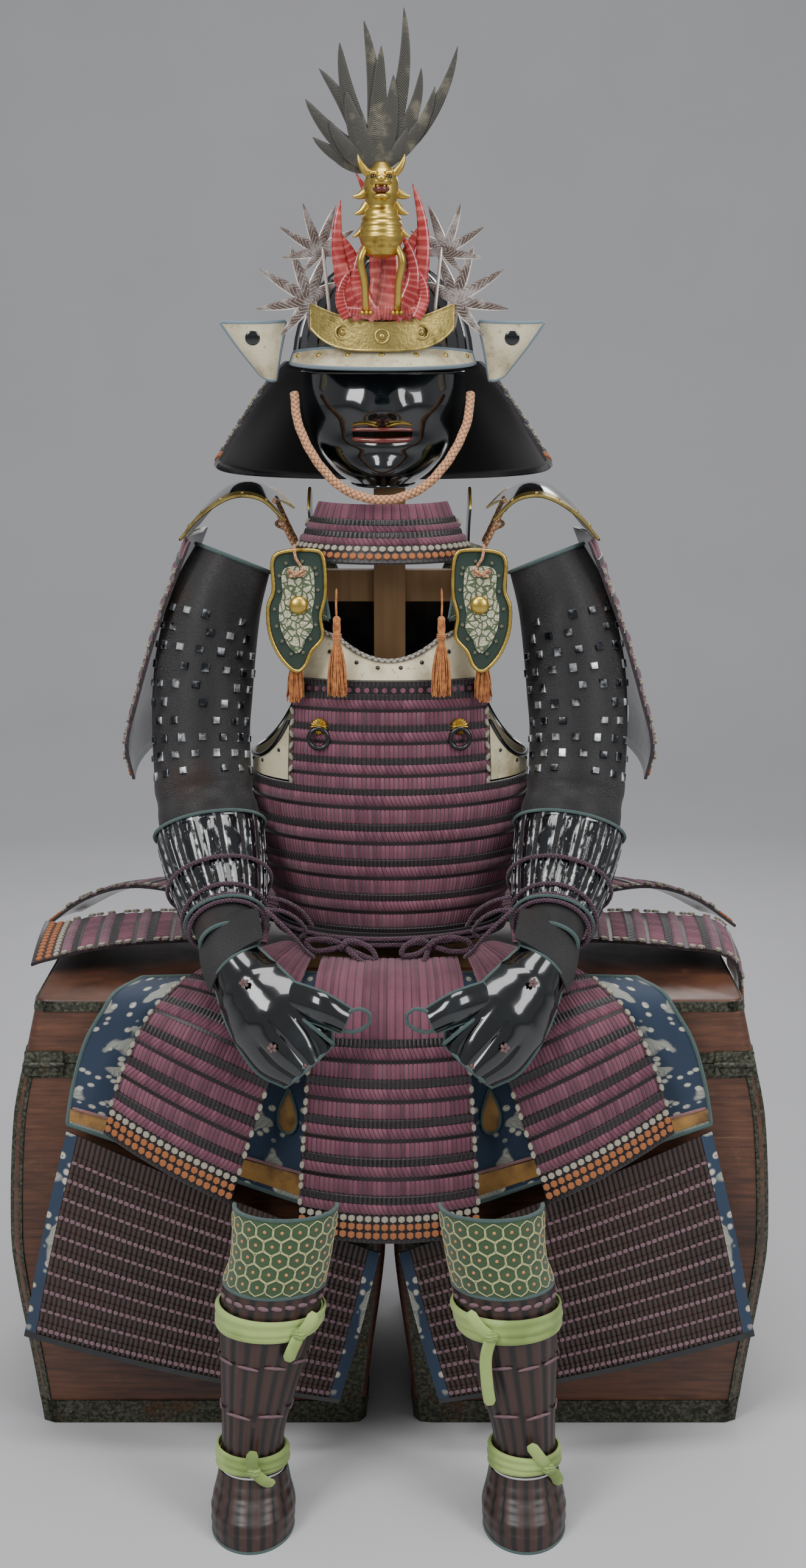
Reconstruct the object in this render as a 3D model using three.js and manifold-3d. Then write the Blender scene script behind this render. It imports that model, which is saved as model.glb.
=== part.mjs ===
// Samurai armour (tosei gusoku) set out as if seated on a pair of armour chests.
// Millimetres, +Z up. The origin is on the floor under the middle of the whole. The armour faces -Y, and +X is its
// own left, which is the viewer's right. Worn cloth and laced plates are thin walls over named sections.
import * as THREE from "three";
import { mergeVertices } from "three/addons/utils/BufferGeometryUtils.js";
import Module from "manifold-3d";

const wasm = await Module();
wasm.setup();

// Driving dimensions
const GAP = 0.5; // between pieces that touch
const LAME = 2.6; // a lacquered lame with its lacing
const LAME_LEAN = 3; // how far a lame's upper edge stands out over the lame above it
const CLOTH = 2.2; // lined cloth
const QUILT = 4; // quilted cloth
const IRON = 2.4; // forged and lacquered plate
const CHEST_X = 241; // from the middle of the whole to the middle of a chest
const CHEST_Y = 175;
const CHEST_WOOD = 12;
const LID_SEAM = 493;
const LID_TOP = 573;
const BODY_Y = 185; // the middle of the cuirass, neck and helmet, front to back
const WAIST = 612;
const ARMHOLE = 824; // top of the lames that go all round
const BACK_TOP = 1050;
const CHEST_LINE = 958; // lower edge of the leather chest-top plate
const HEAD_Y = 192;
const BROW = 1345; // lower rim of the helmet bowl
const MIDDLE_Y = 37.5; // the middle of the whole, between the toes and the chests' backs
const HEAD_X = -8; // the helmet and mask sit a little to the armour's right

const group = new THREE.Group();
group.position.y = -MIDDLE_Y;
const head = new THREE.Group();
head.position.x = HEAD_X;
group.add(head);

const FINISH = {
  lacquer: { color: 0x11171a, roughness: 0.22, metalness: 0 },
  brownLacquer: { color: 0x2b1a16, roughness: 0.3, metalness: 0 },
  lace: { color: 0x7d4b5a, roughness: 0.85, metalness: 0 },
  darkLace: { color: 0x2a1c1c, roughness: 0.8, metalness: 0 },
  ivory: { color: 0xcdc3a5, roughness: 0.7, metalness: 0 },
  brass: { color: 0xa0915a, roughness: 0.4, metalness: 1 },
  gilt: { color: 0xc8b45a, roughness: 0.3, metalness: 1 },
  redLacquer: { color: 0xbe5050, roughness: 0.35, metalness: 0 },
  plume: { color: 0x1a1d14, roughness: 0.8, metalness: 0 },
  leaf: { color: 0x8d7560, roughness: 0.4, metalness: 0.6 },
  cord: { color: 0xc89673, roughness: 0.9, metalness: 0 },
  orange: { color: 0xd77d3c, roughness: 0.9, metalness: 0 },
  mail: { color: 0x2a2f38, roughness: 0.5, metalness: 0.7 },
  steel: { color: 0x76808c, roughness: 0.35, metalness: 1 },
  indigo: { color: 0x283c55, roughness: 0.9, metalness: 0 },
  green: { color: 0x375032, roughness: 0.9, metalness: 0 },
  tie: { color: 0xa5be6e, roughness: 0.9, metalness: 0 },
  chestWood: { color: 0x503728, roughness: 0.5, metalness: 0 },
  plainWood: { color: 0x8a6a48, roughness: 0.7, metalness: 0 },
};

// Adds one piece to the armour.
function piece(name, geometry, finish, parent = group) {
  const mesh = new THREE.Mesh(geometry, new THREE.MeshStandardMaterial(FINISH[finish]));
  mesh.name = name;
  parent.add(mesh);
}

// A geometry of shared vertices, without the faces that a pinched row flattens.
function closed(geometry) {
  const bare = geometry.index ? geometry.toNonIndexed() : geometry.clone();
  bare.deleteAttribute("normal");
  bare.deleteAttribute("uv");
  const merged = mergeVertices(bare, 1e-3);
  const kept = [];
  for (let i = 0; i < merged.index.count; i += 3) {
    const [a, b, c] = [0, 1, 2].map((k) => merged.index.getX(i + k));
    if (a !== b && b !== c && c !== a) kept.push(a, b, c);
  }
  merged.setIndex(kept);
  return merged;
}

function solidOf(geometry) {
  const shared = closed(geometry);
  return new wasm.Manifold(
    new wasm.Mesh({
      numProp: 3,
      vertProperties: new Float32Array(shared.attributes.position.array),
      triVerts: new Uint32Array(shared.index.array),
    }),
  );
}

function geometryOf(solid) {
  const mesh = solid.getMesh();
  const geometry = new THREE.BufferGeometry();
  geometry.setAttribute("position", new THREE.BufferAttribute(mesh.vertProperties, 3));
  geometry.setIndex(new THREE.BufferAttribute(mesh.triVerts, 1));
  return geometry;
}

const joined = (...parts) => geometryOf(parts.map(solidOf).reduce((all, part) => all.add(part)));

const cut = (whole, ...tools) =>
  geometryOf(tools.map(solidOf).reduce((left, tool) => left.subtract(tool), solidOf(whole)));

// The same piece for the other side of the armour.
function mirrored(geometry) {
  const other = closed(geometry).scale(-1, 1, 1);
  const index = Array.from(other.index.array);
  for (let i = 0; i < index.length; i += 3) [index[i + 1], index[i + 2]] = [index[i + 2], index[i + 1]];
  return other.setIndex(index);
}

// A pair of pieces from the geometry of the one at +X.
function pair(name, geometry, finish, parent = group) {
  piece(name + "_right", geometry, finish, parent);
  piece(name + "_left", mirrored(geometry), finish, parent);
}

// The row of a table at a key between its rows, with each column on a smooth curve through them.
function between(table, key) {
  const found = table.findIndex((row, i) => i > 0 && key <= row.at);
  const i = found < 0 ? table.length - 1 : found;
  const [low, high] = [table[i - 1], table[i]];
  const before = table[i - 2] ?? low;
  const after = table[i + 1] ?? high;
  const reach = high.at - low.at;
  const t = Math.min(1, Math.max(0, (key - low.at) / reach));
  const row = {};
  for (const column of Object.keys(low)) {
    const lowSlope = (high[column] - before[column]) / (high.at - before.at);
    const highSlope = (after[column] - low[column]) / (after.at - low.at);
    row[column] =
      (2 * t ** 3 - 3 * t ** 2 + 1) * low[column] +
      (t ** 3 - 2 * t ** 2 + t) * reach * lowSlope +
      (3 * t ** 2 - 2 * t ** 3) * high[column] +
      (t ** 3 - t ** 2) * reach * highSlope;
  }
  return row;
}

const steps = (count, low = 0, high = 1) =>
  Array.from({ length: count + 1 }, (_, i) => low + ((high - low) * i) / count);

const vector = (x, y, z) => new THREE.Vector3(x, y, z);

// The direction that a form faces at a point: across it from left to right, crossed with up it.
function facing(form, u, v) {
  const SMALL = 1e-3;
  const across = form(u + SMALL, v).sub(form(u - SMALL, v));
  const [lower, upper] = [Math.max(0, v - SMALL), Math.min(1, v + SMALL)];
  const up = form(u, upper).sub(form(u, lower));
  return across.cross(up).normalize();
}

// A wall under a grid of points: rows from its lower to its upper edge, each from left to right as seen from outside.
function wallOf(rows, faces, thickness, ring) {
  const columns = rows[0].length;
  const points = [rows, rows.map((row, i) => row.map((p, j) => p.clone().addScaledVector(faces[i][j], -thickness)))];
  const positions = points.flat(2).flatMap((p) => [p.x, p.y, p.z]);
  const inside = rows.length * columns;
  const at = (i, j, layer) => layer * inside + i * columns + (j % columns);
  const index = [];
  const face = (a, b, c, d) => index.push(a, b, c, a, c, d);
  const lastRow = rows.length - 1;
  const spans = ring ? columns : columns - 1;
  for (let j = 0; j < spans; j++) {
    for (let i = 0; i < lastRow; i++) {
      face(at(i, j, 0), at(i, j + 1, 0), at(i + 1, j + 1, 0), at(i + 1, j, 0));
      face(at(i, j, 1), at(i + 1, j, 1), at(i + 1, j + 1, 1), at(i, j + 1, 1));
    }
    face(at(0, j, 1), at(0, j + 1, 1), at(0, j + 1, 0), at(0, j, 0));
    face(at(lastRow, j, 0), at(lastRow, j + 1, 0), at(lastRow, j + 1, 1), at(lastRow, j, 1));
  }
  for (let i = 0; i < lastRow && !ring; i++) {
    face(at(i, 0, 0), at(i + 1, 0, 0), at(i + 1, 0, 1), at(i, 0, 1));
    face(at(i, spans, 1), at(i + 1, spans, 1), at(i + 1, spans, 0), at(i, spans, 0));
  }
  const geometry = new THREE.BufferGeometry();
  geometry.setAttribute("position", new THREE.Float32BufferAttribute(positions, 3));
  geometry.setIndex(index);
  return closed(geometry);
}

// A wall on a form(u, v): u goes from -1 to 1 from left to right, and v from 0 to 1 from its lower to its upper edge.
function wall(form, { across, up, thickness, out = 0, ring = false }) {
  const us = steps(across, -1, 1).slice(0, ring ? across : across + 1);
  const levels = Array.isArray(up) ? up : steps(up).map((v) => ({ v, out: 0 }));
  const faces = levels.map(({ v }) => us.map((u) => facing(form, u, v)));
  const rows = levels.map((level, i) =>
    us.map((u, j) => form(u, level.v).addScaledVector(faces[i][j], out + level.out)),
  );
  return wallOf(rows, faces, thickness, ring);
}

// The levels of a laced wall, where each lame leans out to its upper edge and the next one starts behind it.
function lames(count, lean = LAME_LEAN) {
  const LEDGE = 0.1; // the share of a lame's height in which the wall steps back
  return steps(count - 1, 0, (count - 1) / count).flatMap((v, i) => [
    { v, out: 0 },
    { v: i < count - 1 ? v + (1 - LEDGE) / count : 1, out: lean },
  ]);
}

// A panel between two edges: its table gives each edge's points, and crown is how far its middle stands out.
function panel(table, crown = 0) {
  const flat = (u, v) => {
    const row = between(table, v);
    const share = (u + 1) / 2;
    return vector(row.leftX, row.leftY, row.leftZ).lerp(vector(row.rightX, row.rightY, row.rightZ), share);
  };
  return (u, v) => flat(u, v).addScaledVector(facing(flat, 0, v), crown * (1 - u * u));
}

function tube(points, radius, sides, count, loop = false) {
  const curve = new THREE.CatmullRomCurve3(points.map((p) => vector(...p)), loop);
  const section = new THREE.Shape(
    steps(sides)
      .slice(0, sides)
      .map((turn) => new THREE.Vector2(radius * Math.cos(2 * Math.PI * turn), radius * Math.sin(2 * Math.PI * turn))),
  );
  return new THREE.ExtrudeGeometry(section, { steps: count, extrudePath: curve, bevelEnabled: false });
}

// A plate cut to an outline of [across, up] points and stood up to face -Y, with its face at y.
function plate(outline, y, thickness) {
  const shape = new THREE.Shape(outline.map(([x, z]) => new THREE.Vector2(x, z)));
  const geometry = new THREE.ExtrudeGeometry(shape, { depth: thickness, bevelEnabled: false });
  return geometry.rotateX(Math.PI / 2).translate(0, y + thickness, 0);
}

function block(low, high) {
  const size = high.map((value, i) => value - low[i]);
  return new THREE.BoxGeometry(...size).translate(...low.map((value, i) => value + size[i] / 2));
}

// The chests: barrel-sided lacquered wood, each with a deep lid
const CHEST_SECTIONS = [
  { at: 0, halfWidth: 208, halfDepth: 190 },
  { at: 83, halfWidth: 216, halfDepth: 199 },
  { at: 198, halfWidth: 231, halfDepth: 207 },
  { at: 265, halfWidth: 236, halfDepth: 210 },
  { at: 418, halfWidth: 228, halfDepth: 205 },
  { at: LID_SEAM, halfWidth: 214, halfDepth: 198 },
  { at: LID_TOP, halfWidth: 197, halfDepth: 190 },
];
const CHEST_CORNER = 16;

function chestBlock(levels, inset, bottom, top) {
  const CORNER_STEPS = 2;
  const rows = levels.map((z) => {
    const { halfWidth, halfDepth } = between(CHEST_SECTIONS, z);
    const radius = CHEST_CORNER - inset / 2;
    const corners = [[1, -1, -Math.PI / 2], [1, 1, 0], [-1, 1, Math.PI / 2], [-1, -1, Math.PI]];
    return corners.flatMap(([signX, signY, start]) =>
      steps(CORNER_STEPS, start, start + Math.PI / 2).map((angle) =>
        vector(
          CHEST_X + signX * (halfWidth - inset - radius) + radius * Math.cos(angle),
          CHEST_Y + signY * (halfDepth - inset - radius) + radius * Math.sin(angle),
          z === levels[0] ? bottom : z === levels.at(-1) ? top : z,
        ),
      ),
    );
  });
  const middles = [rows[0], rows.at(-1)].map((row) => row.map(() => vector(CHEST_X, CHEST_Y, row[0].z)));
  const all = [middles[0], ...rows, middles[1]];
  const count = rows[0].length;
  const positions = all.flat().flatMap((p) => [p.x, p.y, p.z]);
  const index = [];
  for (let i = 0; i + 1 < all.length; i++) {
    for (let j = 0; j < count; j++) {
      const [a, b] = [i * count + j, i * count + ((j + 1) % count)];
      index.push(a, b, b + count, a, b + count, a + count);
    }
  }
  const geometry = new THREE.BufferGeometry();
  geometry.setAttribute("position", new THREE.Float32BufferAttribute(positions, 3));
  geometry.setIndex(index);
  return closed(geometry);
}

const CHEST_LEVELS = CHEST_SECTIONS.map((row) => row.at);
const boxLevels = CHEST_LEVELS.slice(0, -1);
const lidLevels = CHEST_LEVELS.slice(-2);
pair(
  "chest",
  cut(
    chestBlock(boxLevels, 0, 0, LID_SEAM),
    chestBlock(boxLevels, CHEST_WOOD, CHEST_WOOD, LID_SEAM + CHEST_WOOD),
  ),
  "chestWood",
);
pair(
  "chest_lid",
  cut(
    chestBlock(lidLevels, 0, LID_SEAM + GAP, LID_TOP),
    chestBlock(lidLevels, CHEST_WOOD, LID_SEAM - CHEST_WOOD, LID_TOP - CHEST_WOOD),
  ),
  "chestWood",
);

// The stand inside the armour: a foot across both lids, a post, a shoulder bar and a head block
const POST = 20;
const STAND = { footX: 120, footY: 70, footHeight: 16, barX: 150, barZ: 1064, headZ: 1432, headHalf: 48 };
piece(
  "armour_stand",
  joined(
    block([-STAND.footX, BODY_Y - STAND.footY, LID_TOP + GAP],
      [STAND.footX, BODY_Y + STAND.footY, LID_TOP + STAND.footHeight]),
    block([-POST, BODY_Y - POST, LID_TOP + STAND.footHeight / 2], [POST, BODY_Y + POST, STAND.headZ - POST]),
    block([-STAND.barX, BODY_Y - POST / 2, STAND.barZ - POST], [STAND.barX, BODY_Y + POST / 2, STAND.barZ + POST]),
    block([-STAND.headHalf, BODY_Y - STAND.headHalf, STAND.headZ - 2 * STAND.headHalf],
      [STAND.headHalf, BODY_Y + STAND.headHalf, STAND.headZ]),
  ),
  "plainWood",
);

// The cuirass: a front and a back of laced lames, waisted, with room for the arms
const CUIRASS = [
  { at: WAIST, halfWidth: 137, halfDepth: 106 },
  { at: 665, halfWidth: 153, halfDepth: 115 },
  { at: 725, halfWidth: 168, halfDepth: 122 },
  { at: 785, halfWidth: 177, halfDepth: 126 },
  { at: ARMHOLE, halfWidth: 179, halfDepth: 127 },
  { at: 890, halfWidth: 176, halfDepth: 125 },
  { at: CHEST_LINE, halfWidth: 172, halfDepth: 119 },
  { at: BACK_TOP, halfWidth: 158, halfDepth: 110 },
];
const SIDE_SEAM = 89.4; // degrees from the middle to the seam under the arm
const CHEST_SPAN = 44; // degrees from the middle to the edge of the narrow upper lames
const LAP = 3; // the upper lames start behind the top of the lower ones

// The wall of the cuirass, as seen from the front (towards -1) or from the back (towards 1).
function torso(towards, low, high, span) {
  return (u, v) => {
    const z = low + (high - low) * v;
    const row = between(CUIRASS, z);
    const angle = THREE.MathUtils.degToRad(u * span);
    return vector(
      -towards * row.halfWidth * Math.sin(angle),
      BODY_Y + towards * row.halfDepth * Math.cos(angle),
      z,
    );
  };
}
function cuirassHalf(towards, top, upperLames) {
  return joined(
    wall(torso(towards, WAIST, ARMHOLE, SIDE_SEAM), { across: 12, up: lames(5), thickness: LAME }),
    wall(torso(towards, ARMHOLE - LAP, top, CHEST_SPAN), {
      across: 6,
      up: lames(upperLames),
      thickness: LAME,
      out: LAME_LEAN / 2,
    }),
  );
}
piece("cuirass_front", cuirassHalf(-1, CHEST_LINE, 3), "lace");
piece("cuirass_back", cuirassHalf(1, BACK_TOP, 4), "lace");

// Ivory leather plates: the chest top with its neckline, and one under each arm
const NECKLINE = { halfWidth: 62, low: 981, high: 1008, shoulder: 1030 };
const CHEST_TOP = { halfWidth: 119, halfDepth: 117 };
function chestTop(u, v) {
  const x = u * CHEST_TOP.halfWidth;
  const inNeck = Math.min(1, Math.abs(x) / NECKLINE.halfWidth);
  const beyond = Math.max(0, Math.abs(x) - NECKLINE.halfWidth) / (CHEST_TOP.halfWidth - NECKLINE.halfWidth);
  const rim = THREE.MathUtils.lerp(NECKLINE.low, NECKLINE.high, inNeck ** 2);
  const top = THREE.MathUtils.lerp(rim, NECKLINE.shoulder, beyond);
  const z = THREE.MathUtils.lerp(CHEST_LINE + GAP, top, v);
  const curve = Math.sqrt(1 - (x / between(CUIRASS, CHEST_LINE).halfWidth) ** 2);
  const LEAN = 10; // the plate leans back to the neck
  return vector(x, BODY_Y - CHEST_TOP.halfDepth * curve + LEAN * v, z);
}
piece("chest_top_plate", wall(chestTop, { across: 12, up: 3, thickness: 3 }), "ivory");

const SIDE_PLATE = { fromFront: 46, fromBack: 134, low: ARMHOLE + LAME_LEAN, dip: 848, rise: 904 };
function sidePlate(u, v) {
  const degrees = THREE.MathUtils.lerp(SIDE_PLATE.fromFront, SIDE_PLATE.fromBack, (u + 1) / 2);
  const angle = THREE.MathUtils.degToRad(degrees);
  const top = THREE.MathUtils.lerp(SIDE_PLATE.dip, SIDE_PLATE.rise, u ** 4);
  const z = THREE.MathUtils.lerp(SIDE_PLATE.low, top, v);
  const row = between(CUIRASS, z);
  return vector(row.halfWidth * Math.sin(angle), BODY_Y - row.halfDepth * Math.cos(angle), z);
}
pair("side_plate", wall(sidePlate, { across: 8, up: 2, thickness: 3 }), "ivory");

// Shoulder straps of padded leather from the back, over the shoulder, to the chest top
const STRAP = [
  { at: 0, leftX: 74, leftY: 68, leftZ: 1036, rightX: 117, rightY: 76, rightZ: 1034 },
  { at: 0.15, leftX: 82, leftY: 106, leftZ: 1076, rightX: 132, rightY: 110, rightZ: 1066 },
  { at: 0.4, leftX: 92, leftY: 190, leftZ: 1116, rightX: 142, rightY: 190, rightZ: 1100 },
  { at: 0.65, leftX: 84, leftY: 262, leftZ: 1108, rightX: 128, rightY: 258, rightZ: 1094 },
  { at: 1, leftX: 66, leftY: 306, leftZ: 1058, rightX: 104, rightY: 296, rightZ: 1052 },
];
const STANDING_PLATE = { x: 100, lowY: 165, highY: 235, low: 1112, top: 1186 };
pair(
  "shoulder_strap",
  joined(
    wall(panel(STRAP, 2), { across: 2, up: 8, thickness: 6 }),
    block(
      [STANDING_PLATE.x, STANDING_PLATE.lowY, STANDING_PLATE.low],
      [STANDING_PLATE.x + 3, STANDING_PLATE.highY, STANDING_PLATE.top],
    ),
  ),
  "green",
);

// Leaf plates hung on the straps, with a brass rim, and a silk tassel beside each
const LEAF_PLATE = [
  [80, 1110], [92, 1120], [130, 1118], [142, 1106], [141, 1072], [148, 1050], [146, 1018],
  [134, 990], [116, 972], [104, 978], [96, 996], [82, 1014], [84, 1040], [78, 1068],
];
const LEAF_PLATE_Y = 60;
pair("leaf_plate", plate(LEAF_PLATE, LEAF_PLATE_Y, 4), "ivory");
const TASSEL = { x: 64, y: 52, top: 1040, bottom: 940, neck: 5, skirt: 13 };
pair(
  "tassel",
  new THREE.CylinderGeometry(TASSEL.neck, TASSEL.skirt, TASSEL.top - TASSEL.bottom, 8)
    .rotateX(Math.PI / 2)
    .translate(TASSEL.x, TASSEL.y, (TASSEL.top + TASSEL.bottom) / 2),
  "orange",
);

// The waist cord round the lower edge of the cuirass
const WAIST_CORD = { halfWidth: 146, halfDepth: 115, low: 614, high: 634, turns: 20 };
function waistCord(u, v) {
  const angle = Math.PI * u;
  const z = THREE.MathUtils.lerp(WAIST_CORD.low, WAIST_CORD.high, v);
  const flare = (z - WAIST_CORD.low) * 0.3;
  return vector(
    (WAIST_CORD.halfWidth + flare) * Math.sin(angle),
    BODY_Y - (WAIST_CORD.halfDepth + flare) * Math.cos(angle),
    z,
  );
}
piece(
  "waist_cord",
  wall(waistCord, { across: WAIST_CORD.turns, up: 1, thickness: 2, ring: true }),
  "darkLace",
);

// The tassets, hung from the waist by long laces and spread over the thighs and the chest lids
const TASSET_FRONT = [
  { at: 0, half: 112, y: -104, z: 304 },
  { at: 0.3, half: 106, y: -103, z: 394 },
  { at: 0.55, half: 101, y: -98, z: 474 },
  { at: 0.75, half: 96, y: -80, z: 546 },
  { at: 0.88, half: 92, y: -22, z: 594 },
  { at: 1, half: 86, y: 60, z: 606 },
];
function tassetFront(u, v) {
  const row = between(TASSET_FRONT, v);
  const CROWN = 10;
  const CURVE = 10; // the lower edge hangs in a shallow bow
  return vector(u * row.half, row.y - CROWN * (1 - u * u), row.z - CURVE * (1 - u * u) * (1 - v));
}
piece("tasset_front", wall(tassetFront, { across: 6, up: lames(6), thickness: LAME }), "lace");

const TASSET_FRONT_SIDE = [
  { at: 0, leftX: 194, leftY: -104, leftZ: 340, rightX: 348, rightY: -84, rightZ: 424 },
  { at: 0.35, leftX: 166, leftY: -100, leftZ: 430, rightX: 322, rightY: -78, rightZ: 506 },
  { at: 0.65, leftX: 136, leftY: -84, leftZ: 518, rightX: 284, rightY: -52, rightZ: 576 },
  { at: 0.85, leftX: 112, leftY: -24, leftZ: 590, rightX: 222, rightY: 22, rightZ: 608 },
  { at: 1, leftX: 98, leftY: 62, leftZ: 606, rightX: 150, rightY: 104, rightZ: 607 },
];
pair("tasset_front_side", wall(panel(TASSET_FRONT_SIDE, 12), { across: 5, up: lames(6), thickness: LAME }), "lace");

// The side tassets lie on the lids: the one at +X turns down over the edge, the other stops on it.
const tassetSide = (endX, endZ) => [
  { at: 0, leftX: endX, leftY: 80, leftZ: endZ, rightX: endX + 4, rightY: 215, rightZ: endZ + 20 },
  { at: 0.25, leftX: 440, leftY: 82, leftZ: 594, rightX: 444, rightY: 215, rightZ: 604 },
  { at: 0.5, leftX: 368, leftY: 84, leftZ: 610, rightX: 374, rightY: 215, rightZ: 616 },
  { at: 0.75, leftX: 275, leftY: 100, leftZ: 614, rightX: 280, rightY: 218, rightZ: 618 },
  { at: 1, leftX: 160, leftY: 122, leftZ: 606, rightX: 160, rightY: 208, rightZ: 606 },
];
const sideWall = (table) => wall(panel(table, 4), { across: 4, up: lames(6), thickness: LAME });
piece("tasset_side_right", sideWall(tassetSide(454, 526)), "lace");
piece("tasset_side_left", mirrored(sideWall(tassetSide(460, 588))), "lace");

const TASSET_REAR = [
  { at: 0, leftX: 468, leftY: 232, leftZ: 596, rightX: 436, rightY: 336, rightZ: 590 },
  { at: 0.25, leftX: 412, leftY: 236, leftZ: 634, rightX: 372, rightY: 352, rightZ: 618 },
  { at: 0.5, leftX: 345, leftY: 238, leftZ: 650, rightX: 296, rightY: 364, rightZ: 626 },
  { at: 0.75, leftX: 255, leftY: 230, leftZ: 636, rightX: 190, rightY: 358, rightZ: 622 },
  { at: 1, leftX: 158, leftY: 224, leftZ: 606, rightX: 52, rightY: 310, rightZ: 606 },
];
pair("tasset_rear", wall(panel(TASSET_REAR, 4), { across: 4, up: lames(6), thickness: LAME }), "lace");

// The thigh guards: patterned cloth over the lids' front edge, and scales laced below it
const HAIDATE_CLOTH = [
  { at: 0, leftX: 14, leftY: -62, leftZ: 290, rightX: 396, rightY: -62, rightZ: 428 },
  { at: 0.3, leftX: 14, leftY: -58, leftZ: 390, rightX: 388, rightY: -54, rightZ: 476 },
  { at: 0.6, leftX: 14, leftY: -54, leftZ: 485, rightX: 372, rightY: -46, rightZ: 530 },
  { at: 0.8, leftX: 16, leftY: -44, leftZ: 560, rightX: 350, rightY: -38, rightZ: 568 },
  { at: 0.88, leftX: 18, leftY: -20, leftZ: 581, rightX: 338, rightY: -18, rightZ: 583 },
  { at: 1, leftX: 24, leftY: 56, leftZ: 586, rightX: 312, rightY: 40, rightZ: 584 },
];
pair("haidate_cloth", wall(panel(HAIDATE_CLOTH, 0), { across: 6, up: 10, thickness: CLOTH }), "indigo");

const HAIDATE_SCALES = [
  { at: 0, leftX: 63, leftY: -96, leftZ: 72, rightX: 456, rightY: -78, rightZ: 154 },
  { at: 0.5, leftX: 36, leftY: -84, leftZ: 165, rightX: 428, rightY: -74, rightZ: 290 },
  { at: 1, leftX: 12, leftY: -72, leftZ: 262, rightX: 396, rightY: -66, rightZ: 420 },
];
pair("haidate_scales", wall(panel(HAIDATE_SCALES, 16), { across: 8, up: 5, thickness: LAME }), "darkLace");

// The sleeves: cloth under mail, open at the shoulder and the wrist
const SLEEVE = [
  { at: 0, x: 194, y: -34, z: 652, halfWidth: 36, halfDepth: 30 },
  { at: 0.12, x: 203, y: 6, z: 672, halfWidth: 44, halfDepth: 38 },
  { at: 0.25, x: 214, y: 52, z: 704, halfWidth: 54, halfDepth: 48 },
  { at: 0.4, x: 230, y: 104, z: 768, halfWidth: 63, halfDepth: 56 },
  { at: 0.52, x: 240, y: 136, z: 836, halfWidth: 62, halfDepth: 58 },
  { at: 0.68, x: 240, y: 160, z: 930, halfWidth: 64, halfDepth: 60 },
  { at: 0.85, x: 226, y: 178, z: 1030, halfWidth: 60, halfDepth: 60 },
  { at: 1, x: 200, y: 188, z: 1100, halfWidth: 50, halfDepth: 52 },
];
function sleeve(u, v) {
  const NEAR = 0.02;
  const row = between(SLEEVE, v);
  const [below, above] = [between(SLEEVE, Math.max(0, v - NEAR)), between(SLEEVE, Math.min(1, v + NEAR))];
  const along = vector(above.x - below.x, above.y - below.y, above.z - below.z).normalize();
  const side = vector(1, 0, 0).addScaledVector(along, -along.x).normalize();
  const back = along.clone().cross(side);
  return vector(row.x, row.y, row.z)
    .addScaledVector(side, row.halfWidth * Math.sin(Math.PI * u))
    .addScaledVector(back, -row.halfDepth * Math.cos(Math.PI * u));
}
pair("sleeve", wall(sleeve, { across: 14, up: 9, thickness: CLOTH, ring: true }), "mail");

// Splints along the forearm, and the lacquered hand guard with its thumb plate
const SPLINTS = { low: 0.1, high: 0.39, spread: 0.62, lift: 6.5 };
const splintForm = (u, v) => sleeve(u * SPLINTS.spread, THREE.MathUtils.lerp(SPLINTS.low, SPLINTS.high, v));
pair("forearm_splints", wall(splintForm, { across: 10, up: 3, thickness: IRON, out: SPLINTS.lift }), "steel");

const HAND = [
  { at: 0, leftX: 66, leftY: -134, leftZ: 556, rightX: 122, rightY: -142, rightZ: 506 },
  { at: 0.25, leftX: 72, leftY: -132, leftZ: 590, rightX: 156, rightY: -134, rightZ: 522 },
  { at: 0.6, leftX: 112, leftY: -116, leftZ: 628, rightX: 188, rightY: -116, rightZ: 566 },
  { at: 1, leftX: 158, leftY: -78, leftZ: 660, rightX: 210, rightY: -82, rightZ: 616 },
];
const THUMB = [
  { at: 0, leftX: 44, leftY: -146, leftZ: 604, rightX: 56, rightY: -150, rightZ: 576 },
  { at: 0.5, leftX: 76, leftY: -146, leftZ: 624, rightX: 82, rightY: -148, rightZ: 586 },
  { at: 1, leftX: 112, leftY: -124, leftZ: 630, rightX: 112, rightY: -130, rightZ: 590 },
];
pair(
  "hand_guard",
  joined(
    wall(panel(HAND, 22), { across: 6, up: 5, thickness: IRON }),
    wall(panel(THUMB, 8), { across: 4, up: 3, thickness: IRON }),
  ),
  "lacquer",
);

// The shoulder guards, hung on the outside of the arms, and their top plates
const SODE = [
  { at: 0, frontX: 326, middleX: 334, z: 824 },
  { at: 0.14, frontX: 334, middleX: 342, z: 866 },
  { at: 0.35, frontX: 320, middleX: 330, z: 925 },
  { at: 0.62, frontX: 296, middleX: 306, z: 1005 },
  { at: 0.85, frontX: 270, middleX: 282, z: 1075 },
  { at: 1, frontX: 250, middleX: 264, z: 1125 },
];
const SODE_Y = 240;
const SODE_HALF = 128;
function sode(u, v) {
  const row = between(SODE, v);
  const narrow = 1 - 0.12 * v;
  return vector(
    THREE.MathUtils.lerp(row.middleX, row.frontX, u * u),
    SODE_Y + u * SODE_HALF * narrow,
    row.z,
  );
}
pair("shoulder_guard", wall(sode, { across: 5, up: lames(6), thickness: LAME }), "lace");

const SODE_TOP = [
  { at: 0, x: 262, z: 1128 },
  { at: 0.3, x: 240, z: 1162 },
  { at: 0.6, x: 204, z: 1190 },
  { at: 0.8, x: 172, z: 1190 },
  { at: 1, x: 146, z: 1168 },
];
function sodeTop(u, v) {
  const row = between(SODE_TOP, v);
  const drop = 16 * v * u * u; // its ends turn down
  return vector(row.x - drop, 235 + u * 108, row.z - drop);
}
pair("shoulder_guard_top", wall(sodeTop, { across: 5, up: 4, thickness: IRON }), "lacquer");

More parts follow.
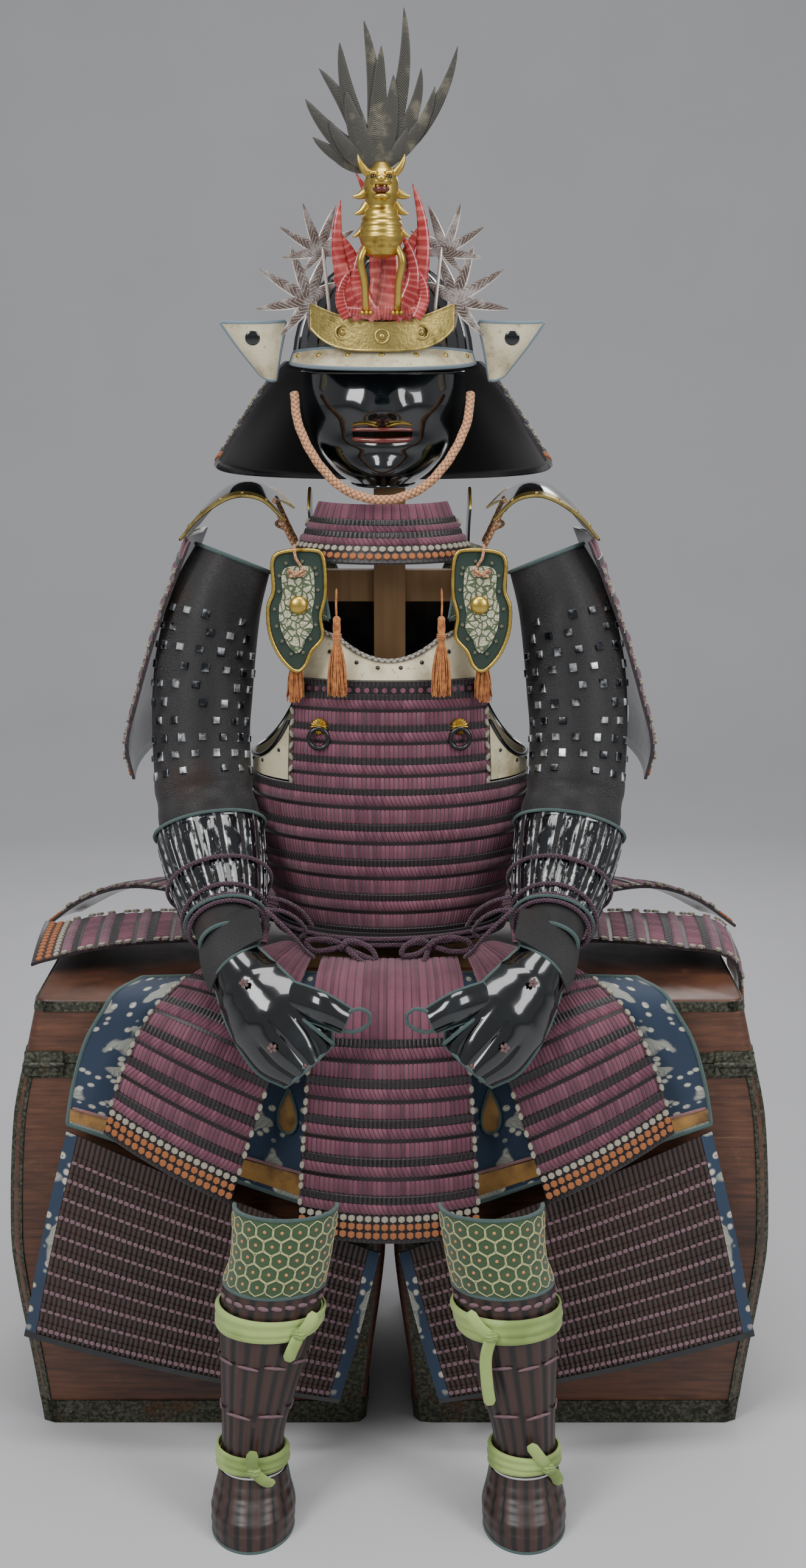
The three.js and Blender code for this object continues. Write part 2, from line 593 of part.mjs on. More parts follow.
// The helmet: bowl, visor, turn-backs and laced neck guard
const BOWL = { halfWidth: 112, halfDepth: 122, height: 128 };
function bowl(u, v) {
  const rise = (v * Math.PI) / 2;
  return vector(
    BOWL.halfWidth * Math.cos(rise) * Math.sin(Math.PI * u),
    HEAD_Y - BOWL.halfDepth * Math.cos(rise) * Math.cos(Math.PI * u),
    BROW + BOWL.height * Math.sin(rise),
  );
}
piece("helmet_bowl", wall(bowl, { across: 16, up: 5, thickness: IRON, ring: true }), "lacquer", head);

const VISOR = { span: 66, depth: 26, drop: 8, halfWidth: 124, top: 1362 };
function visor(u, v) {
  const angle = THREE.MathUtils.degToRad(u * VISOR.span);
  const reach = 4 + (1 - v) * VISOR.depth * Math.cos(angle * 1.1);
  const lower = BROW - VISOR.drop + 6 * u * u;
  return vector(
    (BOWL.halfWidth + 6 + reach * 0.6) * Math.sin(angle),
    HEAD_Y - (BOWL.halfDepth + reach) * Math.cos(angle),
    THREE.MathUtils.lerp(lower, VISOR.top - 6 * u * u, v),
  );
}
piece("helmet_visor", wall(visor, { across: 12, up: 3, thickness: 3 }), "ivory", head);

const TURN_BACK = [
  { at: 0, leftX: 130, leftY: 122, leftZ: 1322, rightX: 150, rightY: 118, rightZ: 1328 },
  { at: 0.5, leftX: 124, leftY: 112, leftZ: 1356, rightX: 176, rightY: 104, rightZ: 1362 },
  { at: 1, leftX: 116, leftY: 106, leftZ: 1392, rightX: 196, rightY: 98, rightZ: 1391 },
];
pair("turn_back", wall(panel(TURN_BACK, 8), { across: 4, up: 4, thickness: 3 }), "ivory", head);

const NECK_GUARD = { span: 108, topX: 122, topY: 128, rimX: 214, rimY: 172, rimSide: 1224, rimBack: 1188 };
function neckGuard(u, v) {
  const angle = THREE.MathUtils.degToRad(u * NECK_GUARD.span);
  const down = 1 - v;
  const flare = down ** 0.85;
  const rim = THREE.MathUtils.lerp(NECK_GUARD.rimBack, NECK_GUARD.rimSide, Math.min(1, Math.abs(u)) ** 2);
  return vector(
    -THREE.MathUtils.lerp(NECK_GUARD.topX, NECK_GUARD.rimX, flare) * Math.sin(angle),
    HEAD_Y + THREE.MathUtils.lerp(NECK_GUARD.topY, NECK_GUARD.rimY, flare) * Math.cos(angle),
    THREE.MathUtils.lerp(BROW, rim, down),
  );
}
piece("neck_guard", wall(neckGuard, { across: 14, up: lames(5), thickness: LAME }), "darkLace", head);

// The face: mask with nose, lips and chin, its braided cord, and the laced throat guard
const MASK = [
  { at: 1194, halfWidth: 38, front: 84, sides: 60 },
  { at: 1210, halfWidth: 60, front: 98, sides: 66 },
  { at: 1236, halfWidth: 82, front: 100, sides: 76 },
  { at: 1268, halfWidth: 97, front: 102, sides: 84 },
  { at: 1304, halfWidth: 103, front: 106, sides: 86 },
  { at: 1332, halfWidth: 102, front: 100, sides: 86 },
];
const MASK_FEATURES = [
  { x: 0, z: 1300, wide: 9, tall: 20, out: 16 }, // bridge of the nose
  { x: 0, z: 1285, wide: 14, tall: 9, out: 16 }, // tip of the nose
  { x: 0, z: 1219, wide: 18, tall: 13, out: 12 }, // chin
  { x: 52, z: 1292, wide: 20, tall: 15, out: 8 }, // cheeks
  { x: 0, z: 1245, wide: 34, tall: 6, out: 6 }, // lower lip
];
const MOUTH = { halfWidth: 36, low: 1254, high: 1262 };
function mask(u, v) {
  const [low, high] = [MASK[0].at, MASK.at(-1).at];
  const z = low + (high - low) * v;
  const row = between(MASK, z);
  const angle = (u * Math.PI) / 2;
  const x = row.halfWidth * Math.sin(angle);
  const relief = MASK_FEATURES.reduce((sum, bump) => {
    const far = ((Math.abs(x) - bump.x) / bump.wide) ** 2 + ((z - bump.z) / bump.tall) ** 2;
    return sum + bump.out * Math.exp(-far / 2);
  }, 0);
  return vector(x, HEAD_Y - 12 - (row.front + relief) * Math.cos(angle), z);
}
const maskWall = wall(mask, { across: 18, up: 12, thickness: 3 });
const mouth = block([-MOUTH.halfWidth, 20, MOUTH.low], [MOUTH.halfWidth, HEAD_Y - 40, MOUTH.high]);
piece("face_mask", cut(maskWall, mouth), "lacquer", head);

const MASK_CORD = [
  [-108, 112, 1308], [-102, 90, 1270], [-80, 68, 1228], [-46, 58, 1194], [0, 56, 1181],
  [46, 58, 1194], [80, 68, 1228], [102, 90, 1270], [108, 112, 1308],
];
piece("mask_cord", tube(MASK_CORD, 5, 6, 24), "cord", head);

const THROAT = [
  { at: 0, halfWidth: 128, halfDepth: 134, z: 1104 },
  { at: 0.35, halfWidth: 114, halfDepth: 124, z: 1124 },
  { at: 0.7, halfWidth: 98, halfDepth: 112, z: 1152 },
  { at: 1, halfWidth: 88, halfDepth: 106, z: 1174 },
];
const THROAT_SPAN = 66;
function throat(u, v) {
  const row = between(THROAT, v);
  const angle = THREE.MathUtils.degToRad(u * THROAT_SPAN);
  return vector(row.halfWidth * Math.sin(angle), BODY_Y - row.halfDepth * Math.cos(angle), row.z);
}
piece("throat_guard", wall(throat, { across: 10, up: lames(4, 2), thickness: LAME }), "lace", head);

// The crest: a brass holder, red flames, a gilt guardian beast, a dark plume and thin metal maple leaves
const CREST_Y = 44;
const HOLDER = { half: 86, low: 1358, high: 1412, sag: 22, rise: 26 };
const HOOK = { half: 12, depth: 19.5, low: 1368, high: 1384 }; // it carries the holder on the bowl
function holder(u, v) {
  const x = u * HOLDER.half;
  const low = HOLDER.low + HOLDER.rise * u ** 4;
  const high = HOLDER.high - HOLDER.sag * (1 - u * u);
  return vector(x, CREST_Y + 6 + 30 * u * u, THREE.MathUtils.lerp(low, high, v));
}
piece(
  "crest_holder",
  joined(
    wall(holder, { across: 10, up: 1, thickness: 3 }),
    block([-HOOK.half, CREST_Y + 8, HOOK.low], [HOOK.half, CREST_Y + 8 + HOOK.depth, HOOK.high]),
  ),
  "brass",
  head,
);

const FLAMES = [
  [0, 1390.8], [-46, 1397], [-56, 1436], [-50, 1470], [-60, 1500], [-44, 1492], [-48, 1530], [-30, 1516], [-30, 1560],
  [-12, 1534], [14, 1566], [16, 1530], [36, 1548], [34, 1508], [54, 1506], [44, 1474], [56, 1440], [46, 1397],
];
const FLAMES_Y = CREST_Y + 2;
piece("crest_flames", plate(FLAMES, FLAMES_Y, 6), "redLacquer", head);

const BEAST_BODY = [[0, 1462], [17, 1466], [25, 1484], [22, 1506], [14, 1520], [22, 1536], [20, 1560], [0, 1572]];
const beastTurn = new THREE.LatheGeometry(BEAST_BODY.map(([radius, z]) => new THREE.Vector2(radius, z)), 8);
const BEAST_Y = FLAMES_Y - 26;
piece(
  "crest_beast",
  joined(
    beastTurn.rotateX(Math.PI / 2).translate(0, BEAST_Y, 0),
    tube([[16, BEAST_Y, 1476], [20, BEAST_Y + 4, 1440], [18, BEAST_Y + 18, 1402]], 4.5, 6, 4),
    tube([[-16, BEAST_Y, 1476], [-20, BEAST_Y + 4, 1440], [-18, BEAST_Y + 18, 1402]], 4.5, 6, 4),
  ),
  "gilt",
  head,
);

const PLUME = [
  [-28, 1561.5], [-36, 1572], [-58, 1578], [-52, 1596], [-80, 1600], [-62, 1618], [-88, 1642], [-58, 1644],
  [-72, 1676], [-42, 1668], [-48, 1704], [-28, 1688], [-20, 1728], [0, 1700], [26, 1742], [18, 1676],
  [46, 1676], [88, 1700], [62, 1656], [40, 1634], [30, 1604], [22, 1580], [15, 1566.5],
];
piece("crest_plume", plate(PLUME, FLAMES_Y, 6), "plume", head);

// A maple leaf of seven lobes about a middle point, joined to the holder by its stem.
function mapleLeaf([x, z], reach, tilt) {
  const LOBES = [0.55, 0.8, 0.95, 1, 0.95, 0.8, 0.55];
  const NOTCH = 0.34;
  const FAN = 40; // degrees from one lobe to the next
  const outline = LOBES.flatMap((length, i) => {
    const middle = tilt + (i - 3) * FAN;
    return [[length * reach, middle], [NOTCH * reach, middle + FAN / 2]];
  });
  return outline.map(([radius, turn]) => {
    const angle = THREE.MathUtils.degToRad(90 - turn);
    return [x + radius * Math.cos(angle), z + radius * Math.sin(angle)];
  });
}
const LEAF_Y = CREST_Y + 40;
pair(
  "maple_leaves",
  joined(
    plate(mapleLeaf([74, 1474], 58, 20), LEAF_Y, 1.6),
    plate(mapleLeaf([86, 1418], 70, 60), LEAF_Y, 1.6),
    plate([[60, 1400], [66, 1400], [74, 1478], [68, 1478]], LEAF_Y, 1.6),
  ),
  "leaf",
  head,
);

// The leg guards: quilted knee, lacquered shin open at the back, laced foot, and a cloth tie
const LEG = [
  { at: 64, x: 160, y: -236, halfWidth: 40, halfDepth: 34 },
  { at: 106, x: 160, y: -232, halfWidth: 36, halfDepth: 34 },
  { at: 170, x: 152, y: -222, halfWidth: 45, halfDepth: 42 },
  { at: 235, x: 142, y: -212, halfWidth: 56, halfDepth: 50 },
  { at: 285, x: 135, y: -206, halfWidth: 59, halfDepth: 52 },
  { at: 325, x: 126, y: -202, halfWidth: 56, halfDepth: 50 },
  { at: 382, x: 120, y: -198, halfWidth: 60, halfDepth: 46 },
];
function leg(low, high, span) {
  return (u, v) => {
    const z = low + (high - low) * v;
    const row = between(LEG, z);
    const angle = THREE.MathUtils.degToRad(u * span);
    return vector(row.x + row.halfWidth * Math.sin(angle), row.y - row.halfDepth * Math.cos(angle), z);
  };
}
pair("shin_guard", wall(leg(72, 290, 112), { across: 8, up: 5, thickness: IRON }), "brownLacquer");
pair("knee_guard", wall(leg(291.5, 382, 96), { across: 8, up: 3, thickness: QUILT }), "green");

const FOOT = [
  { at: 0, x: 160, y: -246, halfWidth: 47, halfDepth: 64 },
  { at: 26, x: 160, y: -244, halfWidth: 49, halfDepth: 58 },
  { at: 52, x: 160, y: -238, halfWidth: 43, halfDepth: 42 },
  { at: 70, x: 160, y: -236, halfWidth: 40, halfDepth: 34 },
];
function foot(u, v) {
  const z = 70 * v;
  const row = between(FOOT, z);
  const angle = THREE.MathUtils.degToRad(u * 104);
  return vector(row.x + row.halfWidth * Math.sin(angle), row.y - row.halfDepth * Math.cos(angle), z);
}
const footWall = wall(foot, { across: 8, up: 4, thickness: IRON });
const soles = footWall.attributes.position;
for (let i = 0; i < soles.count; i++) soles.setZ(i, Math.max(0, soles.getZ(i)));
pair("foot_guard", footWall, "brownLacquer");

const TIE = { low: 238, high: 258, span: 176 };
pair("leg_tie", wall(leg(TIE.low, TIE.high, TIE.span), { across: 14, up: 1, thickness: 2, out: 4.4 }), "tie");

export default group;
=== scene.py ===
"""Samurai armour on a pair of armour chests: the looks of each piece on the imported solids."""

import math
from collections import namedtuple

import bmesh
import bpy
import numpy as np
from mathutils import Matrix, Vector


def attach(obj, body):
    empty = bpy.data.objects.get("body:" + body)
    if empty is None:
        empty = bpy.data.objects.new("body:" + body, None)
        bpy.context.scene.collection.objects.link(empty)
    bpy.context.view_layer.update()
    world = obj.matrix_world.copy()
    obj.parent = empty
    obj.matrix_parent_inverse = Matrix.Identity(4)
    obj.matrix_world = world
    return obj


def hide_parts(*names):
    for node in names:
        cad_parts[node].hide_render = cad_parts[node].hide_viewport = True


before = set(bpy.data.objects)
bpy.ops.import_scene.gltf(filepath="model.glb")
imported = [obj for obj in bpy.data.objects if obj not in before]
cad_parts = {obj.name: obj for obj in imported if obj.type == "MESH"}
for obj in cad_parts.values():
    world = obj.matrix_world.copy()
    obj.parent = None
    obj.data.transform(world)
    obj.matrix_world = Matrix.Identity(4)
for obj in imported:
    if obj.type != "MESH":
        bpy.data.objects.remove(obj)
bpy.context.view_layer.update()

# ---------------------------------------------------------------- camera
# A long lens at a standing viewer's eye, tilted down to take in the feet.
camera = bpy.data.objects.new("camera", bpy.data.cameras.new("camera"))
bpy.context.scene.collection.objects.link(camera)
camera.location = (0.017, -2.4275, 1.350)
camera.rotation_euler = (math.radians(78), 0, 0)
camera.data.sensor_fit = "VERTICAL"
camera.data.sensor_width = camera.data.sensor_height = 36
camera.data.lens = 46.12
bpy.context.scene.camera = camera


# ---------------------------------------------------------------- materials
# The mask's braided cord is the first piece, so the tools for its material come here:
# a colour from 0 to 255, a value on a surface, and a material made of nodes.
def tint(red, green, blue):
    """A colour as the shader takes it."""
    return tuple((c / 255) ** 2.2 for c in (red, green, blue)) + (1.0,)


class Value:
    """A number or colour that varies over a surface, with the usual signs."""

    def __init__(self, paint, socket):
        self.paint, self.socket = paint, socket

    def math(self, operation, *others):
        return self.paint.node("ShaderNodeMath", {"operation": operation}, [self, *others])

    def __add__(self, other):
        return self.math("ADD", other)

    __radd__ = __add__

    def __mul__(self, other):
        return self.math("MULTIPLY", other)

    __rmul__ = __mul__

    def __sub__(self, other):
        return self.math("SUBTRACT", other)

    def __rsub__(self, other):
        return self.paint.node("ShaderNodeMath", {"operation": "SUBTRACT"}, [other, self])

    def __truediv__(self, other):
        return self.math("DIVIDE", other)

    def __rtruediv__(self, other):
        return self.paint.node("ShaderNodeMath", {"operation": "DIVIDE"}, [other, self])

    def __pow__(self, other):
        return self.math("POWER", other)

    def __gt__(self, other):
        return self.math("GREATER_THAN", other)

    def __lt__(self, other):
        return self.math("LESS_THAN", other)

    def sin(self):
        return self.math("SINE")

    def cos(self):
        return self.math("COSINE")

    def abs(self):
        return self.math("ABSOLUTE")

    def floor(self):
        return self.math("FLOOR")

    def fract(self):
        return self.math("FRACT")

    def low(self, other):
        return self.math("MINIMUM", other)

    def high(self, other):
        return self.math("MAXIMUM", other)

    def ridge(self):
        """Nought at whole numbers and one midway between them."""
        return (self * math.pi).sin().abs()

    def ramp(self, start, end):
        """From nought at start to one at end."""
        return self.paint.node(
            "ShaderNodeMapRange",
            {"interpolation_type": "SMOOTHSTEP", "clamp": True},
            {"Value": self, "From Min": start, "From Max": end},
        )


class Paint:
    """A material with one shader."""

    def __init__(self, name, **constants):
        self.material = bpy.data.materials.new(name)
        self.material.use_nodes = True
        self.tree = self.material.node_tree
        self.tree.nodes.clear()
        self.shader = self.tree.nodes.new("ShaderNodeBsdfPrincipled")
        output = self.tree.nodes.new("ShaderNodeOutputMaterial")
        self.tree.links.new(self.shader.outputs[0], output.inputs[0])
        for key, value in constants.items():
            self.shader.inputs[key.replace("_", " ")].default_value = value

    def node(self, kind, settings=(), sockets=(), output=0):
        """Any node: its type, its settings, then what goes into its sockets."""
        made = self.tree.nodes.new(kind)
        for key, value in dict(settings).items():
            setattr(made, key, value)
        pairs = sockets.items() if isinstance(sockets, dict) else enumerate(sockets)
        for key, value in pairs:
            if isinstance(value, Value):
                self.tree.links.new(value.socket, made.inputs[key])
            else:
                made.inputs[key].default_value = value
        return Value(self, made.outputs[output])

    def uv(self):
        """The two coordinates that the piece's mesh carries."""
        where = self.node("ShaderNodeUVMap", {"uv_map": "uv"})
        return [self.node("ShaderNodeSeparateXYZ", (), [where], i) for i in (0, 1)]

    def place(self):
        """Metres in the armour's frame."""
        return self.node("ShaderNodeTexCoord", (), (), "Object")

    def stretched(self, x, y, z):
        """The place, drawn out to other scales along the three axes."""
        return self.node("ShaderNodeVectorMath", {"operation": "MULTIPLY"}, [self.place(), (x, y, z)])

    def vector(self, x, y, z=0.0):
        return self.node("ShaderNodeCombineXYZ", (), [x, y, z])

    def noise(self, scale, detail=3, where=None, rough=0.55):
        return self.node(
            "ShaderNodeTexNoise",
            (),
            {"Vector": where or self.place(), "Scale": scale, "Detail": detail, "Roughness": rough},
        )

    def cells(self, scale, where=None, feature="F1", output="Distance", randomness=1.0):
        return self.node(
            "ShaderNodeTexVoronoi",
            {"feature": feature},
            {"Vector": where or self.place(), "Scale": scale, "Randomness": randomness},
            output,
        )

    def mix(self, low, high, factor):
        """A colour between two."""
        return self.node("ShaderNodeMix", {"data_type": "RGBA"}, {0: factor, 6: low, 7: high}, 2)

    def finish(self, colour, roughness=None, bump=None, depth=0.001, metallic=None, alpha=None):
        given = {"Base Color": colour, "Roughness": roughness, "Metallic": metallic, "Alpha": alpha}
        for key, value in given.items():
            if isinstance(value, Value):
                self.tree.links.new(value.socket, self.shader.inputs[key])
            elif value is not None:
                self.shader.inputs[key].default_value = value
        if bump is not None:
            normal = self.node("ShaderNodeBump", (), {"Height": bump, "Distance": depth, "Strength": 1.0})
            self.tree.links.new(normal.socket, self.shader.inputs["Normal"])
        return self.material


# ---------------------------------------------------------------- mask cord
# A thick braided silk cord in dusty peach, from under one end of the visor, round the
# chin of the mask and up to the other end. It is tied at both ends inside the helmet.
MIDDLE_Y = 37.5  # the middle of the whole, behind the middle of the cuirass's own frame
HEAD_X = -8.0  # the helmet and mask sit a little to the armour's right

Part = namedtuple("Part", "points faces uv paint")


def build(name, parts, paints, slot, stands_for=(), head=False, sharp=40):
    """One piece from parts in millimetres, in the armour's own frame."""
    points, faces, uvs, slots, count = [], [], [], [], 0
    for part in parts:
        points.append(np.asarray(part.points, float).reshape(-1, 3))
        uvs.append(np.asarray(part.uv, float).reshape(-1, 2))
        faces.extend([[int(i) + count for i in face] for face in part.faces])
        slots.extend([part.paint] * len(part.faces))
        count += len(points[-1])
    points, uvs = np.concatenate(points), np.concatenate(uvs)
    shift = np.array([HEAD_X if head else 0.0, -MIDDLE_Y, 0.0])
    mesh = bpy.data.meshes.new(name)
    mesh.from_pydata(((points + shift) / 1000).tolist(), [], faces)
    layer = mesh.uv_layers.new(name="uv")
    corners = np.zeros(len(mesh.loops), np.int32)
    mesh.loops.foreach_get("vertex_index", corners)
    layer.data.foreach_set("uv", uvs[corners].astype(np.float32).ravel())
    mesh.polygons.foreach_set("material_index", slots)
    for paint in paints if isinstance(paints, list) else [paints]:
        mesh.materials.append(paint)
    shaped = bmesh.new()
    shaped.from_mesh(mesh)
    bmesh.ops.remove_doubles(shaped, verts=shaped.verts, dist=2e-6)
    shaped.to_mesh(mesh)
    shaped.free()
    mesh.shade_smooth()
    mesh.set_sharp_from_angle(angle=math.radians(sharp))
    made = bpy.data.objects.new(name, mesh)
    bpy.context.scene.collection.objects.link(made)
    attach(made, "root")
    if stands_for:
        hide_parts(*stands_for)
    return made


def smooth_line(points, count, loop=False):
    """Evenly spaced points on a smooth curve through some."""
    given = np.asarray(points, float)
    if loop:
        given = np.vstack([given[-1], given, given[0], given[1]])
    else:
        given = np.vstack([2 * given[0] - given[1], given, 2 * given[-1] - given[-2]])
    fine = []
    for i in range(1, len(given) - 2):
        a, b, c, d = given[i - 1 : i + 3]
        for t in np.linspace(0, 1, 16, endpoint=False):
            fine.append(
                0.5 * (
                    2 * b + (c - a) * t + (2 * a - 5 * b + 4 * c - d) * t**2
                    + (3 * b - a - 3 * c + d) * t**3
                )
            )
    fine.append(given[-2])
    fine = np.array(fine)
    run = np.r_[0, np.cumsum(np.linalg.norm(np.diff(fine, axis=0), axis=1))]
    at = np.linspace(0, run[-1], count)
    return np.stack([np.interp(at, run, fine[:, k]) for k in range(3)], 1), run[-1]


def rope(points, radius, sides=8, spacing=3.0, loop=False, strands=0, lay=6.0, flat=1.0, up=None, paint=0):
    """A cord along a curve. Strands and lay, the length of a turn in radii, make its braid."""
    length = smooth_line(points, 2, loop)[1]
    count = max(4, int(length / spacing) + 1)
    line, length = smooth_line(points, count, loop)
    along = np.gradient(line, axis=0)
    along /= np.linalg.norm(along, axis=1, keepdims=True)
    side = np.zeros_like(line)
    first = np.array(up if up is not None else (0.0, 0.0, 1.0))
    if abs(np.dot(first, along[0])) > 0.9:
        first = np.array((0.0, 1.0, 0.0))
    last = np.cross(along[0], first)
    for i, way in enumerate(along):
        last = last - way * np.dot(last, way)
        last /= np.linalg.norm(last)
        side[i] = last
    other = np.cross(along, side)
    turn = np.linspace(0, 2 * math.pi, sides + 1)
    run = np.linspace(0, length, count)
    swell = np.ones((count, sides + 1))
    if strands:
        phase = run[:, None] / (lay * radius) * 2 * math.pi
        swell += 0.13 * np.abs(np.cos((strands * turn[None] + phase) / 2)) - 0.06
    radii = radius * swell
    if not loop:
        radii[0] *= 0.6
        radii[-1] *= 0.6
    ring = (
        line[:, None]
        + side[:, None] * (radii * np.cos(turn))[..., None]
        + other[:, None] * (radii * np.sin(turn))[..., None] * flat
    )
    uv = np.stack(
        np.broadcast_arrays(turn[None] / (2 * math.pi) * 2 * math.pi * radius, run[:, None]), -1
    ) / 1000
    faces = quads(count, sides + 1)
    ends = [] if loop else [list(range(sides))[::-1], [(count - 1) * (sides + 1) + j for j in range(sides)]]
    return Part(ring, faces + ends, uv, paint)


def quads(rows, columns):
    """The faces of a grid of points, turned to the side that across and up face."""
    return [
        [i * columns + j, i * columns + j + 1, (i + 1) * columns + j + 1, (i + 1) * columns + j]
        for i in range(rows - 1)
        for j in range(columns - 1)
    ]


def braid_paint(name, main, dark, per_metre=420, roughness=0.85, fuzz=0.25):
    """Silk braid: plaited strands with painted shade between them and a slight sheen."""
    paint = Paint(name, Sheen_Weight=fuzz, Sheen_Roughness=0.4)
    round_it, along = paint.uv()
    weave = ((along + round_it * 0.8) * per_metre).ridge() * ((along - round_it * 0.8) * per_metre).ridge()
    age = paint.noise(60, 4)
    # Painted shade: the dark colour fills the grooves between the strands, where weave is low; age adds
    # random tone.
    colour = paint.mix(tint(*dark), tint(*main), weave.ramp(0.0, 0.35) * 0.75 + age * 0.3)
    return paint.finish(colour, roughness, weave + age * 0.2, 0.0012)


MASK_CORD = [
    (-108, 112, 1308), (-102, 90, 1270), (-80, 68, 1228), (-46, 58, 1194), (0, 56, 1181),
    (46, 58, 1194), (80, 68, 1228), (102, 90, 1270), (108, 112, 1308),
]
MASK_CORD_RADIUS = 5.4
peach_braid = braid_paint("peach_braid", (216, 160, 118), (96, 58, 44), 150)
mask_cord = build(
    "mask_cord_braid",
    [rope(MASK_CORD, MASK_CORD_RADIUS, 12, 1.6, strands=3, lay=5.0)],
    peach_braid,
    "cord_peach",
    ["mask_cord"],
    head=True,
    sharp=80,
)
cord_line, cord_length = smooth_line(MASK_CORD, 120)
cord_world = (cord_line + np.array([HEAD_X, -MIDDLE_Y, 0])) / 1000
round(cord_length / 1000, 4)

# ---------------------------------------------------------------- floor and light
# A pale floor that turns up into a pale wall, under soft lamps.
FLOOR = 9.0
BEND = 1.6
BACK = 3.2
profile = [(-FLOOR, 0.0)]
for i in range(13):
    turn = i / 12 * math.pi / 2
    profile.append((BACK + BEND * math.sin(turn), BEND - BEND * math.cos(turn)))
profile.append((BACK + BEND, FLOOR))
stage_mesh = bpy.data.meshes.new("stage")
stage_mesh.from_pydata(
    [(x, y, z) for y, z in profile for x in (-FLOOR, FLOOR)],
    [],
    [[2 * i, 2 * i + 1, 2 * i + 3, 2 * i + 2] for i in range(len(profile) - 1)],
)
stage_mesh.shade_smooth()
stage_paint = Paint("stage", Roughness=0.9)
dust = stage_paint.noise(3, 2)
stage_mesh.materials.append(
    stage_paint.finish(stage_paint.mix(tint(196, 196, 198), tint(204, 204, 206), dust))
)
stage = bpy.data.objects.new("stage", stage_mesh)
bpy.context.scene.collection.objects.link(stage)

Lamp = namedtuple("Lamp", "place target width height power")
LAMPS = [
    Lamp((-1.7, -2.3, 2.7), (0, 0, 0.9), 1.1, 1.6, 62),
    Lamp((2.0, -1.9, 2.2), (0, 0, 0.8), 1.0, 1.6, 40),
    Lamp((0.2, -0.7, 3.2), (0, 0, 0.9), 1.6, 0.9, 34),
    Lamp((0.3, 2.5, 2.4), (0, 0, 1.0), 1.6, 1.2, 30),
]
for number, lamp in enumerate(LAMPS):
    light = bpy.data.lights.new(f"lamp_{number}", "AREA")
    light.shape = "RECTANGLE"
    light.size, light.size_y, light.energy = lamp.width, lamp.height, lamp.power
    holder = bpy.data.objects.new(f"lamp_{number}", light)
    holder.location = lamp.place
    away = Vector(lamp.place) - Vector(lamp.target)
    holder.rotation_euler = away.to_track_quat("Z", "Y").to_euler()
    bpy.context.scene.collection.objects.link(holder)
world = bpy.data.worlds.new("air")
world.use_nodes = True
world.node_tree.nodes["Background"].inputs[0].default_value = (0.86, 0.87, 0.9, 1)
world.node_tree.nodes["Background"].inputs[1].default_value = 0.42
bpy.context.scene.world = world

# ---------------------------------------------------------------- chests
# Two barrel-sided chests of brown-red lacquered wood with deep lids. Blackened iron
# straps run round the foot, up the corners and round both edges of the lid.
CHEST_X, CHEST_Y, CHEST_WOOD, CHEST_CORNER = 241.0, 175.0, 12.0, 16.0
LID_SEAM, LID_TOP, GAP = 493.0, 573.0, 0.5
CHEST_SECTIONS = [  # level, half width, half depth
    (0, 208, 190), (83, 216, 199), (198, 231, 207), (265, 236, 210),
    (418, 228, 205), (LID_SEAM, 214, 198), (LID_TOP, 197, 190),
]


def between(table, key):
    """A table's rows at keys between them, each column on a smooth curve."""
    table, key = np.asarray(table, float), np.asarray(key, float)
    at = table[:, 0]
    i = np.clip(np.searchsorted(at, key), 1, len(at) - 1)
    low, high = table[i - 1], table[i]
    before, after = table[np.maximum(i - 2, 0)], table[np.minimum(i + 1, len(at) - 1)]
    reach = high[..., :1] - low[..., :1]
    t = np.clip((key[..., None] - low[..., :1]) / reach, 0, 1)
    low_slope = (high - before) / (high[..., :1] - before[..., :1])
    high_slope = (after - low) / (after[..., :1] - low[..., :1])
    row = (
        (2 * t**3 - 3 * t**2 + 1) * low
        + (t**3 - 2 * t**2 + t) * reach * low_slope
        + (3 * t**2 - 2 * t**3) * high
        + (t**3 - t**2) * reach * high_slope
    )
    return np.moveaxis(row, -1, 0)[1:]


def chest_ring(z, inset, steps=5):
    """The outline of a chest at a level, from the middle of its front, round its corners."""
    half_width, half_depth = between(CHEST_SECTIONS, np.array(float(z)))
    radius = CHEST_CORNER - inset / 2
    ring = []
    for sign_x, sign_y, start in [(1, -1, -90), (1, 1, 0), (-1, 1, 90), (-1, -1, 180)]:
        for turn in np.radians(np.linspace(start, start + 90, steps + 1)):
            ring.append(
                (
                    CHEST_X + sign_x * (half_width - inset - radius) + radius * math.cos(turn),
                    CHEST_Y + sign_y * (half_depth - inset - radius) + radius * math.sin(turn),
                )
            )
    return np.array(ring)


def chest_tub(outer, inner):
    """A tub of wood: outer levels one way and inner levels back, closed at both middles."""
    rows = [np.c_[chest_ring(z, inset), np.full(24, z)] for z, inset in outer + inner]
    first, last = rows[0].mean(0), rows[-1].mean(0)
    rows = [np.tile(first, (24, 1))] + rows + [np.tile(last, (24, 1))]
    grid = np.array(rows)
    grid = np.concatenate([grid, grid[:, :1]], 1)
    run = np.cumsum(np.r_[0, np.linalg.norm(np.diff(grid[len(grid) // 3], axis=0), axis=1)])
    uv = np.stack(np.broadcast_arrays(run[None] / 1000, grid[..., 2] / 1000), -1)
    return Part(grid, quads(*grid.shape[:2]), uv, 0)


